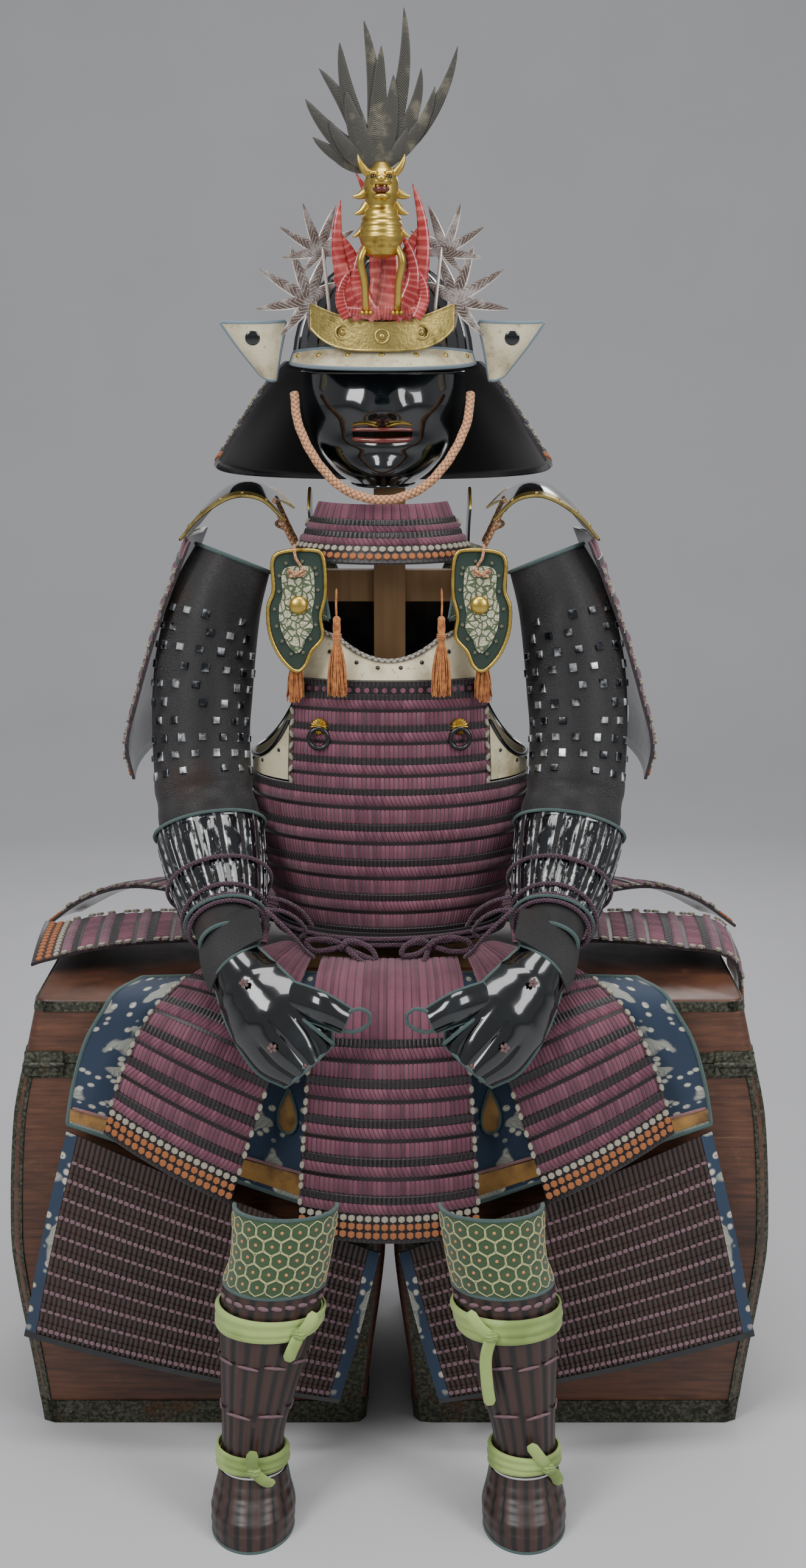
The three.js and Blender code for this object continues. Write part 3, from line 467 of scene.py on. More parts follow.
def chest_strip(levels, inset, spans):
    """Iron laid on the chest: strips from one share of the way round to another."""
    parts = []
    thick = 2.2
    for start, end in spans:
        shares = np.linspace(start, end, max(3, int(abs(end - start) * 96) + 1))
        layers = []
        for out in (inset + 0.0, inset - thick):
            rows = []
            for z in levels:
                ring = chest_ring(z, out)
                ring = np.vstack([ring, ring[:1]])
                run = np.r_[0, np.cumsum(np.linalg.norm(np.diff(ring, axis=0), axis=1))]
                at = (shares % 1.0001) * run[-1]
                rows.append(
                    np.stack(
                        [
                            np.interp(at, run, ring[:, 0]), np.interp(at, run, ring[:, 1]),
                            np.full(len(at), z)
                        ],
                        1
                    )
                )
            layers.append(np.array(rows))
        inside, outside = layers
        uv = np.stack(np.meshgrid(shares, np.array(levels) / 1000), -1)
        parts.append(Part(outside, quads(*outside.shape[:2]), uv, 0))
        for edge in (
            np.stack([inside[0], outside[0]]), np.stack([outside[-1], inside[-1]]),
            np.stack([outside[:, 0], inside[:, 0]]).transpose(1, 0, 2)[:, ::-1],
            np.stack([outside[:, -1], inside[:, -1]]).transpose(1, 0, 2),
        ):
            parts.append(Part(edge, quads(*edge.shape[:2]), np.zeros(edge.shape[:2] + (2,)), 0))
    return parts


def mirror(parts):
    """The same parts for the other side."""
    return [
        Part(
            np.asarray(p.points, float).reshape(-1, 3) * (-1, 1, 1), [list(f)[::-1] for f in p.faces], p.uv,
            p.paint
        )
        for p in parts
    ]


def pair(name, parts, paints, slot, stands_for=(), **more):
    """A piece for each side. A CAD node's name is given without its side."""
    for side, own in (("right", parts), ("left", mirror(parts))):
        build(f"{name}_{side}", own, paints, slot, [f"{n}_{side}" for n in stands_for], **more)


def studs(places, ways, radius, height, paint=0, sides=8):
    """Domed heads of nails or rivets, each at a place and facing a way."""
    parts = []
    turn = np.linspace(0, 2 * math.pi, sides + 1)
    for place, way in zip(np.reshape(places, (-1, 3)), np.reshape(ways, (-1, 3))):
        way = way / np.linalg.norm(way)
        side = np.cross(way, (0.3, 0.2, 1.0))
        side /= np.linalg.norm(side)
        other = np.cross(way, side)
        rows = []
        for rise in (0.0, 0.35, 0.7, 1.0):
            r = radius * math.sqrt(max(0.0, 1 - rise**2)) if rise < 1 else 0.0
            rows.append(
                place + way * height * (rise - 0.1)
                + r * (np.cos(turn)[:, None] * side + np.sin(turn)[:, None] * other)
            )
        parts.append(Part(np.array(rows), quads(4, sides + 1), np.zeros((4, sides + 1, 2)), paint))
    return parts


wood = Paint("chest_wood", Coat_Weight=0.25, Coat_Roughness=0.3)
grain = wood.noise(1.0, 5, wood.stretched(14, 14, 170), 0.6)
cloud = wood.noise(5, 4)
wear = wood.noise(38, 6, None, 0.7)
scratches = wood.noise(1.0, 3, wood.stretched(9, 9, 620)).ramp(0.66, 0.74)
board = wood.mix(tint(46, 28, 22), tint(104, 66, 46), (grain * 0.7 + cloud * 0.5).ramp(0.35, 0.85))
board = wood.mix(board, tint(134, 98, 70), wear.ramp(0.60, 0.80) * 0.55)
board = wood.mix(board, tint(150, 120, 90), scratches * 0.35)
chest_wood = wood.finish(board, 0.34 + wear * 0.35, grain * 0.6 + wear * 0.4, 0.0008)

iron = Paint("chest_iron", Metallic=0.65)
pitting = iron.noise(220, 5)
rust = iron.noise(16, 5, None, 0.65)
iron_colour = iron.mix(tint(52, 54, 46), tint(104, 104, 90), pitting.ramp(0.35, 0.75))
iron_colour = iron.mix(iron_colour, tint(92, 58, 38), rust.ramp(0.56, 0.72) * 0.6)
chest_iron = iron.finish(iron_colour, 0.42 + pitting * 0.3, pitting, 0.0006)

body_levels = np.linspace(0, LID_SEAM, 22)
pair(
    "chest_body",
    [
        chest_tub(
            [(z, 0) for z in body_levels], [(z, CHEST_WOOD) for z in np.linspace(LID_SEAM, CHEST_WOOD, 12)]
        )
    ],
    chest_wood,
    "chest_wood",
    ["chest"],
)
lid_levels = np.linspace(LID_SEAM + GAP, LID_TOP - 4, 8)
pair(
    "chest_cover",
    [
        chest_tub(
            [(z, CHEST_WOOD) for z in (LID_TOP - CHEST_WOOD, LID_SEAM + GAP)]
            + [(z, 0) for z in lid_levels]
            + [(LID_TOP - 1, 1.2), (LID_TOP, 4.5)],
            [],
        )
    ],
    chest_wood,
    "chest_wood",
    ["chest_lid"],
)
corner_spans = [(c - 0.012, c + 0.024) for c in (0.012, 0.262, 0.512, 0.762)]
trim = chest_strip(np.linspace(0.5, 33, 3), 0, [(0.0, 1.0)])
trim += chest_strip(np.linspace(33, LID_SEAM - 18, 20), 0, corner_spans)
trim += chest_strip(np.linspace(LID_SEAM - 18, LID_SEAM - 1, 2), 0, [(0.0, 1.0)])
trim += chest_strip(np.linspace(LID_SEAM + 1, LID_SEAM + 13, 2), 0, [(0.0, 1.0)])
trim += chest_strip(np.linspace(LID_TOP - 15, LID_TOP - 3, 2), 0, [(0.0, 1.0)])
nails = []
for z in (16, LID_SEAM - 9, LID_SEAM + 7, LID_TOP - 9):
    ring = chest_ring(z, -2.2)
    for a, b in zip(ring[[23, 5, 11, 17]], ring[[0, 6, 12, 18]]):
        for share in (0.06, 0.2, 0.35, 0.5, 0.65, 0.8, 0.94):
            spot = a + (b - a) * share
            facing_out = np.array([(b - a)[1], -(b - a)[0], 0.0])
            nails += studs([(*spot, z)], [facing_out], 3.4, 1.8)
HASP = [(404, 452, 478, 508), (60, 96, 478, 508)]  # low x, high x, low z, high z
hasps = []
for low_x, high_x, low_z, high_z in HASP:
    rows = []
    for z in np.linspace(low_z, high_z, 5):
        y = CHEST_Y - between(CHEST_SECTIONS, np.array(z))[1] - 4.6
        bend = 0.8 * math.cos((z - LID_SEAM) / 15 * math.pi / 2)
        rows.append([(x, y - bend, z) for x in np.linspace(low_x, high_x, 5)])
    plate_front = np.array(rows)
    plate_back = plate_front + (0, 5.4, 0)
    hasps.append(Part(plate_front, quads(5, 5), np.zeros((5, 5, 2)), 0))
    for edge in (
        np.stack([plate_back[0], plate_front[0]]), np.stack([plate_front[-1], plate_back[-1]]),
        np.stack([plate_front[:, 0], plate_back[:, 0]], 1)[:, ::-1], np.stack(
            [plate_front[:, -1], plate_back[:, -1]], 1
        ),
    ):
        hasps.append(Part(edge, quads(*edge.shape[:2]), np.zeros(edge.shape[:2] + (2,)), 0))
    hasps += studs(
        [(low_x + 8, plate_front[0][0][1] - 0.4, low_z + 7), (
            high_x - 8, plate_front[0][0][1] - 0.4, low_z + 7
        ),
         (low_x + 8, plate_front[-1][0][1] - 0.4, high_z - 7), (
             high_x - 8, plate_front[-1][0][1] - 0.4, high_z - 7
         )],
        [(0, -1, 0)] * 4, 3.0, 1.6,
    )
    pin_z = LID_SEAM
    pin_y = plate_front[2][0][1] - 1.0
    hasps.append(
        rope(
            [(low_x - 2, pin_y, pin_z), (low_x + 20, pin_y, pin_z), (high_x + 2, pin_y, pin_z)], 3.6, 10, 8
        )
    )
pair("chest_iron", trim + nails + hasps, chest_iron, "chest_iron")

plain_wood = Paint("stand_wood", Roughness=0.7)
streaks = plain_wood.noise(1.0, 4, plain_wood.stretched(90, 90, 6))
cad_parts["armour_stand"].data.materials.clear()
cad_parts["armour_stand"].data.materials.append(
    plain_wood.finish(plain_wood.mix(tint(112, 82, 54), tint(158, 124, 86), streaks), 0.7, streaks, 0.0005)
)

# ---------------------------------------------------------------- cuirass
# Laced lames: black scale heads stand over a plush roll, then a row of upright laces
# runs down to the next heads. All is plum silk over lacquered scales, black inside.
BODY_Y, WAIST, ARMHOLE, BACK_TOP, CHEST_LINE = 185.0, 612.0, 824.0, 1050.0, 958.0
CUIRASS = [  # level, half width, half depth
    (WAIST, 137, 106), (665, 153, 115), (725, 168, 122), (785, 177, 126),
    (ARMHOLE, 179, 127), (890, 176, 125), (CHEST_LINE, 172, 119), (BACK_TOP, 158, 110),
]
SIDE_SEAM, CHEST_SPAN = 89.4, 44.0  # degrees from the middle
HEADS, ROLL, DARK, RIBS, STRANDS, EDGE, BEDS, DOTS = range(8)
Band = namedtuple("Band", "kind height")
LAME = [Band(RIBS, 17), Band(DARK, 4), Band(ROLL, 13), Band(HEADS, 8)]
LONG_LAME = [Band(RIBS, 19), Band(DARK, 5), Band(ROLL, 14), Band(HEADS, 10.5)]
PROFILES = {  # how far each band stands out at shares of its height, and how far its ribs do
    HEADS: ([0.0, 0.3, 0.9, 1.0], [1.8, 2.4, 2.9, 1.6], 0.9),
    ROLL: ([0.0, 0.12, 0.35, 0.65, 0.88, 1.0], [0.8, 2.4, 3.7, 3.8, 2.8, 1.2], 0.5),
    DARK: ([0.0, 1.0], [0.5, 0.5], 0.0),
    RIBS: ([0.0, 0.1, 0.5, 0.9, 1.0], [0.4, 1.2, 1.6, 1.9, 0.8], 1.1),
    STRANDS: ([0.0, 0.04, 0.3, 0.6, 0.9, 1.0], [0.6, 1.4, 1.6, 1.6, 1.4, 0.4], 1.3),
    EDGE: ([0.0, 0.2, 1.0], [0.4, 1.6, 1.6], 0.3),
    BEDS: ([0.0, 1.0], [1.2, 1.2], 0.0),
    DOTS: ([0.0, 0.5, 1.0], [1.4, 1.6, 1.4], 0.4),
}


def xyz(x, y, z):
    return np.stack(np.broadcast_arrays(x, y, z), -1)


def surface(form, u, v, out=0.0):
    """Points on a form moved out by that much, and the way that each faces."""
    u, v = np.broadcast_arrays(np.asarray(u, float), np.asarray(v, float))
    small = 1e-3
    across = form(u + small, v) - form(u - small, v)
    up = form(u, np.minimum(1, v + small)) - form(u, np.maximum(0, v - small))
    face = np.cross(across, up)
    face /= np.linalg.norm(face, axis=-1, keepdims=True)
    return form(u, v) + face * np.broadcast_to(out, u.shape)[..., None], face


def panel(table, crown=0.0):
    """A panel between two edges. Its table has a key, then a left and a right point."""

    def flat(u, v):
        row = between(table, v)
        share = (u + 1) / 2
        return xyz(*(row[k] + (row[k + 3] - row[k]) * share for k in range(3)))

    def form(u, v):
        u, v = np.broadcast_arrays(np.asarray(u, float), np.asarray(v, float))
        return surface(flat, u * 0, v)[1] * (crown * (1 - u**2))[..., None] + flat(u, v)

    return form


def heights_on(form, at=0.0):
    """How far up a form each v is, in millimetres, at one u."""
    v = np.linspace(0, 1, 160)
    return v, np.r_[0, np.cumsum(np.linalg.norm(np.diff(form(np.full(160, at), v), axis=0), axis=1))]


def grid(form, us, vs, out=0.0, paint=0, scale=None, shift=(0.0, 0.0), turned=False):
    """A part on a form, with metres or scaled shares as its coordinates."""
    u, v = np.meshgrid(us, vs)
    points, _ = surface(form, u, v, out)
    if scale is None:
        _, run = heights_on(form)
        width = np.linalg.norm(
            np.diff(form(np.linspace(-1, 1, 60), np.full(60, 0.5)), axis=0), axis=1
        ).sum()
        scale = (width / 2000, run[-1] / 1000)
    uv = np.stack([u * scale[0] + shift[0], v * scale[1] + shift[1]], -1)
    faces = quads(len(vs), len(us))
    return Part(points, [f[::-1] for f in faces] if turned else faces, uv, paint)


def shell(
    form, across, up, thickness, out=0.0, paint=0, inner_paint=None, ring=False, scale=None, shift=(0, 0)
):
    """A thin wall on a form with its rims, closed when its parts are joined."""
    us = np.linspace(-1, 1, across + 1) if np.isscalar(across) else np.asarray(across)
    vs = np.linspace(0, 1, up + 1) if np.isscalar(up) else np.asarray(up)
    u, v = np.meshgrid(us, vs)
    relief = out(u, v) if callable(out) else np.full(u.shape, float(out))
    front = grid(form, us, vs, relief, paint, scale, shift)
    back = grid(
        form, us, vs, relief - thickness, paint if inner_paint is None else inner_paint, scale, shift, True
    )
    parts = [front, back]
    edges = [(0, slice(None)), (-1, slice(None))] + ([] if ring else [(slice(None), 0), (slice(None), -1)])
    for where, flip in zip(edges, (True, False, False, True)):
        line = np.stack([front.points[where], back.points[where]])
        marks = np.stack([front.uv[where], front.uv[where]])
        faces = quads(2, line.shape[1])
        parts.append(Part(line, [f[::-1] for f in faces] if not flip else faces, marks, paint))
    return parts


def ribs(x):
    """Upright laces side by side: one where a lace is fullest and nought between two."""
    return np.sqrt(np.abs(np.sin(math.pi * x)))


def laced(form, bands, laces, thickness=2.6, lift=0.0):
    """A wall of laced lames on a form, from bands of named kinds, lowest first."""
    us = np.linspace(-1, 1, 4 * laces + 1)
    x = (us + 1) / 2 * laces
    ridge = ribs(x)
    v_at, run = heights_on(form)
    total = sum(band.height for band in bands)
    low, parts, last = 0.0, [], None
    for band in bands:
        high = low + band.height
        shares, outs, rib = PROFILES[band.kind]
        rows = []
        for share, out in zip(shares, outs):
            lobe = ribs(x / 2) if band.kind == STRANDS else ridge
            notch = (1 - lobe) * (1.1 if band.kind in (RIBS, ROLL) else 0.0) * ((share == 0) - (share == 1))
            at = (low + share * band.height + notch) / total * run[-1]
            v = np.clip(np.interp(at, run, v_at), 0, 1)
            rows.append(surface(form, us, v, lift + out + rib * (lobe - 1))[0])
        rows = np.array(rows)
        uv = np.stack(np.meshgrid(x, band.kind + 0.02 + 0.96 * np.array(shares)), -1)
        parts.append(Part(rows, quads(*rows.shape[:2]), uv, 0))
        if last is not None:
            step = np.stack([last, rows[0]])
            parts.append(Part(step, quads(*step.shape[:2]), np.full(step.shape[:2] + (2,), DARK + 0.5), 0))
        last = rows[-1]
        low = high
    few = np.linspace(-1, 1, max(5, laces // 3) + 1)
    inner_vs = np.linspace(0, 1, 2 * len(bands) // 2 + 3)
    inner = grid(form, few, inner_vs, lift - thickness, 1, turned=True)
    parts.append(inner)
    first, top = parts[0].points[0], last
    for line, v, flip in ((first, 0.0, False), (top, 1.0, True)):
        under = surface(form, us, np.full_like(us, v), lift - thickness)[0]
        rim = np.stack([under, line])
        faces = quads(*rim.shape[:2])
        parts.append(
            Part(
                rim, [f[::-1] for f in faces] if flip else faces, np.full(rim.shape[:2] + (2,), EDGE + 0.5),
                0
            )
        )
    rows = np.concatenate(
        [p.points for p in parts[:-3] if p.points.shape[0] > 2 or p.uv[0, 0, 1] != DARK + 0.5]
    )
    for side, flip in ((0, True), (-1, False)):
        line = rows[:, side]
        level = np.interp(np.linspace(0, 1, len(line)) * run[-1], run, v_at)
        under = surface(form, np.full(len(line), us[side]), level, lift - thickness)[0]
        rim = np.stack([line, under], 1)
        faces = quads(*rim.shape[:2])
        parts.append(
            Part(
                rim, [f[::-1] for f in faces] if not flip else faces,
                np.full(rim.shape[:2] + (2,), EDGE + 0.5), 0
            )
        )
    return parts


def lace_paint(name, main, shade, dark=(24, 17, 19)):
    """The silk and lacquer of a laced wall, told apart by the band that each point is in."""
    paint = Paint(name, Sheen_Weight=0.3, Sheen_Roughness=0.45)
    x, band = paint.uv()
    kind, up = band.floor(), band.fract()

    def within(number):
        return (kind - number).abs() < 0.5

    fuzz = paint.noise(900, 2)
    cloud = paint.noise(13, 4)
    own = paint.node("ShaderNodeTexWhiteNoise", {"noise_dimensions": "2D"}, [paint.vector(x.floor(), kind)])
    silk = paint.mix(
        tint(*shade), tint(*main), (cloud * 0.9 + fuzz * 0.35 + own * 0.35 - 0.25).ramp(0.15, 0.95)
    )
    # Painted shade: where groove is low the silk is darkened towards the lacquer colour, between the
    # upright laces, between the wide strands and in the twists of the roll.
    between_laces = x.ridge().ramp(0.0, 0.42)
    wide = (x * 0.5).ridge().ramp(0.0, 0.3)
    twist = (x * 1.0 + up * 1.15).ridge().ramp(0.05, 0.5)
    groove = within(RIBS) * between_laces + within(STRANDS) * wide + within(ROLL) * twist + within(DOTS)
    silk = paint.mix(paint.mix(silk, tint(*dark), 0.62), silk, groove)
    # Painted highlight: lighter ticks on the raised ridges of the scale heads and the edge, broken up by
    # the fuzz noise.
    tick_highlight = x.ridge().ramp(0.35, 0.7) * (within(HEADS) + within(EDGE))
    lacquer = paint.mix(tint(*dark), tint(60, 52, 54), tick_highlight * fuzz.ramp(0.3, 0.7))
    hard = within(HEADS) + within(DARK) + within(EDGE) + within(BEDS)
    tooth = within(DARK) * ((up - 0.5).abs() * 2.0 > (x.ridge() * 0.45 + 0.45))
    dots = within(DOTS) * ((((x * 0.5).fract() - 0.5) ** 2.0 * 5.0 + (up - 0.5) ** 2.0 * 4.2) > 0.42)
    hard = (hard - tooth + dots).high(0.0).low(1.0)
    colour = paint.mix(silk, lacquer, hard)
    return paint.finish(colour, 0.88 - hard * 0.52, groove * 0.7 + fuzz * 0.25, 0.0009)


plum_lacing = lace_paint("plum_lacing", (128, 78, 94), (84, 46, 60))
black = Paint("black_lacquer", Coat_Weight=0.5, Coat_Roughness=0.12)
black_dust = black.noise(45, 5)
black_lacquer = black.finish(
    black.mix(
        tint(11, 14, 16), tint(34, 40, 42), black_dust.ramp(0.45, 0.85)
    ), 0.2 + black_dust * 0.2, black.noise(7, 2), 0.0012
)


def torso(towards, low, high, span):
    """The wall of the cuirass: towards is -1 for its front and 1 for its back."""

    def form(u, v):
        z = low + (high - low) * v
        half_width, half_depth = between(CUIRASS, z)
        angle = np.radians(u * span)
        return xyz(-towards * half_width * np.sin(angle), BODY_Y + towards * half_depth * np.cos(angle), z)

    return form


LAP = 3.0
CHEST_ROWS = LAME + LAME + LAME[:2] + [Band(ROLL, 12), Band(HEADS, 7), Band(DOTS, 10), Band(HEADS, 7)]
LOWER_LACES = 102
UPPER_LACES = 48
lower_bands = [Band(EDGE, 4), Band(ROLL, 13), Band(HEADS, 8)] + LAME * 4
for side, towards, top, rows in (
    ("front", -1, CHEST_LINE, CHEST_ROWS),
    ("back", 1, BACK_TOP, LAME * 5 + [Band(ROLL, 12), Band(HEADS, 7)]),
):
    build(
        f"cuirass_{side}_laced",
        laced(torso(towards, WAIST, ARMHOLE, SIDE_SEAM), lower_bands, LOWER_LACES)
        + laced(torso(towards, ARMHOLE - LAP, top, CHEST_SPAN), rows, UPPER_LACES, lift=1.2),
        [plum_lacing, black_lacquer],
        "lacing_plum",
        [f"cuirass_{side}"],
    )

# Ivory knots climb both side edges of the upper lames.
KNOT = 5.2


def knots(places, faces, ways, width, height, thick, paint=0, sides=6):
    """Flat knots of lace, each at a place, facing one way and drawn out along another."""
    parts = []
    turn = np.linspace(0, 2 * math.pi, sides + 1) + math.pi / sides
    for place, face, way in zip(
        np.reshape(places, (-1, 3)), np.reshape(faces, (-1, 3)), np.reshape(ways, (-1, 3))
    ):
        way = way / np.linalg.norm(way)
        side = np.cross(way, face)
        side /= np.linalg.norm(side)
        rows, marks = [], []
        for wide, rise in ((1.0, -0.3), (1.0, 0.35), (0.82, 0.85), (0.0, 1.0)):
            ring_x, ring_y = wide * np.cos(turn), wide * np.sin(turn)
            rows.append(
                place + face * thick * rise
                + ring_x[:, None] * side * width / 2 + ring_y[:, None] * way * height / 2
            )
            marks.append(np.stack([ring_x, ring_y], 1))
        parts.append(Part(np.array(rows), quads(4, sides + 1), np.array(marks), paint))
    return parts


def bead_row(form, v, pitch, height, thick, out, paint=0, inset=0.5, reach=1.0):
    """A row of flat knots across a form, one pitch apart."""
    us = np.linspace(-reach, reach, 120)
    line = form(us, np.full(120, v))
    run = np.r_[0, np.cumsum(np.linalg.norm(np.diff(line, axis=0), axis=1))]
    count = max(1, round(run[-1] / pitch))
    at = np.interp((np.arange(count) + inset) / count * run[-1], run, us)
    places, faces = surface(form, at, np.full(count, v), out)
    ups = form(at, np.full(count, min(1, v + 0.01))) - form(at, np.full(count, max(0, v - 0.01)))
    return knots(places, faces, ups, run[-1] / count * 0.97, height, thick, paint)


def silk_paint(name, main, dark, hatch=5.0):
    """Knotted silk, with slanting threads and painted shade between the threads and round the rim where
    knots meet.
    """
    paint = Paint(name, Sheen_Weight=0.2)
    x, y = paint.uv()
    threads = ((x + y * 0.8) * hatch).ridge()
    rim = (x * x + y * y).ramp(0.45, 1.0)
    fleck = paint.noise(420, 3)
    # Painted shade: rim darkens each knot towards its edge and 1 - threads darkens the gaps between
    # threads; fleck adds random tone.
    colour = paint.mix(
        tint(*main), tint(*dark),
        (rim * 0.75 + (1.0 - threads) * 0.3 + fleck.ramp(0.55, 0.8) * 0.3).low(1.0)
    )
    return paint.finish(colour, 0.85, threads - rim, 0.0009)


ivory_silk = silk_paint("ivory_silk", (216, 206, 182), (52, 44, 40))
orange_silk = silk_paint("orange_silk", (214, 124, 58), (98, 44, 24))

upper_form = torso(-1, ARMHOLE - LAP, CHEST_LINE, CHEST_SPAN)
upper_levels = np.linspace(0.06, 0.80, 8)
edge_knots = []
for side in (-1, 1):
    for number, level in enumerate(upper_levels):
        places, faces = surface(upper_form, np.array([side * 0.975]), np.array([level]), 4.6)
        lean = np.array([[0.35 * side * (-1) ** number, 0.0, 1.0]])
        edge_knots += knots(places, faces, lean, KNOT, 11.5, 2.4)
build("chest_edge_knots", edge_knots, ivory_silk, "lacing_plum")

# Two dark iron rings, each hung from a gilt chrysanthemum, hold the cords of the shoulder guards.
gold = Paint("gilt", Metallic=1.0)
gold_worn = gold.noise(60, 5)
gilt = gold.finish(
    gold.mix(
        tint(206, 176, 92), tint(120, 92, 40), gold_worn.ramp(0.5, 0.8)
    ), 0.24 + gold_worn * 0.2, gold_worn, 0.0004
)
RINGS = [(-84.0, 893.0), (84.0, 893.0)]
ring_parts = []
for x, z in RINGS:
    v = np.array([(z - (ARMHOLE - LAP)) / (CHEST_LINE - ARMHOLE + LAP)])
    u = np.array([math.degrees(math.asin(x / 174)) / CHEST_SPAN])
    spot, face = (a[0] for a in surface(upper_form, u, v, 6.5))
    turn = np.linspace(0, 2 * math.pi, 97)
    petals = []
    for share, rise in ((0.0, 3.4), (0.28, 3.6), (0.32, 1.6), (0.8, 2.6), (1.0, 0.6), (1.0, -1.0)):
        reach = 10.5 * share * (1 + 0.06 * np.cos(16 * turn) * (share > 0.3))
        lift = rise + 0.7 * np.cos(16 * turn) * (share > 0.3)
        petals.append(
            spot + (0, 0, 7) + np.outer(reach * np.cos(turn), (1, 0, 0))
            + np.outer(reach * np.sin(turn), (0, 0, 1)) + face * lift[:, None]
        )
    ring_parts.append(Part(np.array(petals)[::-1], quads(6, 97), np.zeros((6, 97, 2)), 0))
    loop = [
        spot + face * 2.5 + (12 * math.sin(a), 0, -8 + 12.5 * math.cos(a))
        for a in np.linspace(0, 2 * math.pi, 16, endpoint=False)
    ]
    ring_parts.append(rope(loop, 3.0, 10, 2.5, loop=True, paint=1))
build("chest_rings", ring_parts, [gilt, black_lacquer], "gilt")

# The cuirass ends below in a narrow silvery rim.
def rim_line(towards):
    form = torso(towards, WAIST, ARMHOLE, SIDE_SEAM)
    return surface(form, np.linspace(-1, 1, 60), np.full(60, 0.012), 2.2)[0]


dull = Paint("dull_silver", Metallic=1.0)
dull_noise = dull.noise(120, 4)
dull_silver = dull.finish(
    dull.mix(tint(150, 150, 146), tint(84, 84, 82), dull_noise), 0.35, dull_noise, 0.0004
)
build(
    "cuirass_rim", [rope(rim_line(-1), 1.7, 8, 6), rope(rim_line(1), 1.7, 8, 6)], dull_silver,
    "splint_steel"
)

# ---------------------------------------------------------------- leather plates
# Aged ivory leather closes the chest below a neckline of twisted cord, and there is one
# curved plate under each arm with a lacquered rim. Both are studded.
NECK_HALF, NECK_LOW, NECK_HIGH, NECK_SHOULDER = 62.0, 981.0, 1008.0, 1030.0
CHEST_TOP_HALF, CHEST_TOP_DEPTH, CHEST_TOP_LEAN = 119.0, 117.0, 10.0


def chest_top(u, v):
    x = u * CHEST_TOP_HALF
    in_neck = np.minimum(1, np.abs(x) / NECK_HALF)
    beyond = np.maximum(0, np.abs(x) - NECK_HALF) / (CHEST_TOP_HALF - NECK_HALF)
    rim = NECK_LOW + (NECK_HIGH - NECK_LOW) * in_neck**2
    top = rim + (NECK_SHOULDER - rim) * beyond
    low = CHEST_LINE + GAP
    half_width = between(CUIRASS, np.array(CHEST_LINE))[0]
    curve = np.sqrt(1 - (x / half_width) ** 2)
    return xyz(x, BODY_Y - CHEST_TOP_DEPTH * curve + CHEST_TOP_LEAN * v, low + (top - low) * v)


leather = Paint("ivory_leather", Coat_Weight=0.08)
pores = leather.cells(950)
stain = leather.noise(16, 6, None, 0.65)
spots = leather.noise(130, 4)
hide = leather.mix(tint(214, 204, 172), tint(150, 134, 98), stain.ramp(0.46, 0.74))
hide = leather.mix(hide, tint(96, 80, 56), spots.ramp(0.60, 0.74) * 0.55)
ivory_leather = leather.finish(hide, 0.62, pores * 0.6 + stain, 0.0007)

neck_us = np.linspace(-1, 1, 61)
neck_line = surface(chest_top, neck_us, np.ones(61), 0.6)[0]
stud_us = np.array([-0.92, -0.62, -0.34, -0.12, 0.12, 0.34, 0.62, 0.92])
stud_places, stud_faces = surface(chest_top, stud_us, np.full(8, 0.62), 0.2)
build(
    "chest_top_leather",
    shell(chest_top, 48, 6, 3.0) + studs(stud_places, stud_faces, 2.8, 2.0, 1),
    [ivory_leather, black_lacquer],
    "leather_ivory",
    ["chest_top_plate"],
)
twisted = braid_paint("twisted_rim", (168, 160, 148), (30, 28, 28), 130, 0.5)
build("neck_rope", [rope(neck_line, 3.0, 10, 1.6, strands=2, lay=4.0)], twisted, "lacing_plum")

SIDE_PLATE = (46.0, 134.0, ARMHOLE + 3, 848.0, 904.0)  # degrees from the front, low, dip, rise


def side_plate(u, v):
    start, end, low, dip, rise = SIDE_PLATE
    angle = np.radians(start + (end - start) * (u + 1) / 2)
    top = dip + (rise - dip) * u**4
    z = low + (top - low) * v
    half_width, half_depth = between(CUIRASS, z)
    return xyz(half_width * np.sin(angle), BODY_Y - half_depth * np.cos(angle), z)


plate_rim = surface(side_plate, np.linspace(-1, 1, 41), np.ones(41), 0.0)[0]
spots_u = np.array([-0.86, -0.55, -0.2, 0.2, 0.55, 0.86])
plate_studs = surface(side_plate, spots_u, np.full(6, 0.7), 0.2)
pair(
    "arm_plate",
    shell(side_plate, 32, 5, 3.0) + studs(*plate_studs, 2.6, 1.8, 1) + [
        rope(plate_rim, 2.8, 8, 3, paint=1)
    ],
    [ivory_leather, black_lacquer],
    "leather_ivory",
    ["side_plate"],
)

# ---------------------------------------------------------------- shoulder straps
# Padded straps of green brocade with blue-green piping, and a standing lacquered plate on each.
STRAP = [
    (0, 74, 68, 1036, 117, 76, 1034), (
        0.15, 82, 106, 1076, 132, 110, 1066
    ), (0.4, 92, 190, 1116, 142, 190, 1100),
    (0.65, 84, 262, 1108, 128, 258, 1094), (1, 66, 306, 1058, 104, 296, 1052),
]
strap_form = panel(STRAP, 2)
brocade = Paint("green_brocade", Sheen_Weight=0.25)
bu, bv = brocade.uv()
vine = (brocade.noise(46, 2, brocade.vector(bu, bv)) * 9.0).ridge()
weft = (bv * 1400.0).ridge()
brocade_colour = brocade.mix(tint(176, 168, 118), tint(48, 66, 44), vine.ramp(0.25, 0.6))
green_brocade = brocade.finish(brocade_colour, 0.85, weft * 0.5 + vine, 0.0006)
piping = braid_paint("blue_green_piping", (92, 122, 118), (40, 58, 58), 500)


def pillow(depth):
    """Padding that swells between the stitched edges."""
    return lambda u, v: depth * (1 - u**6) - depth


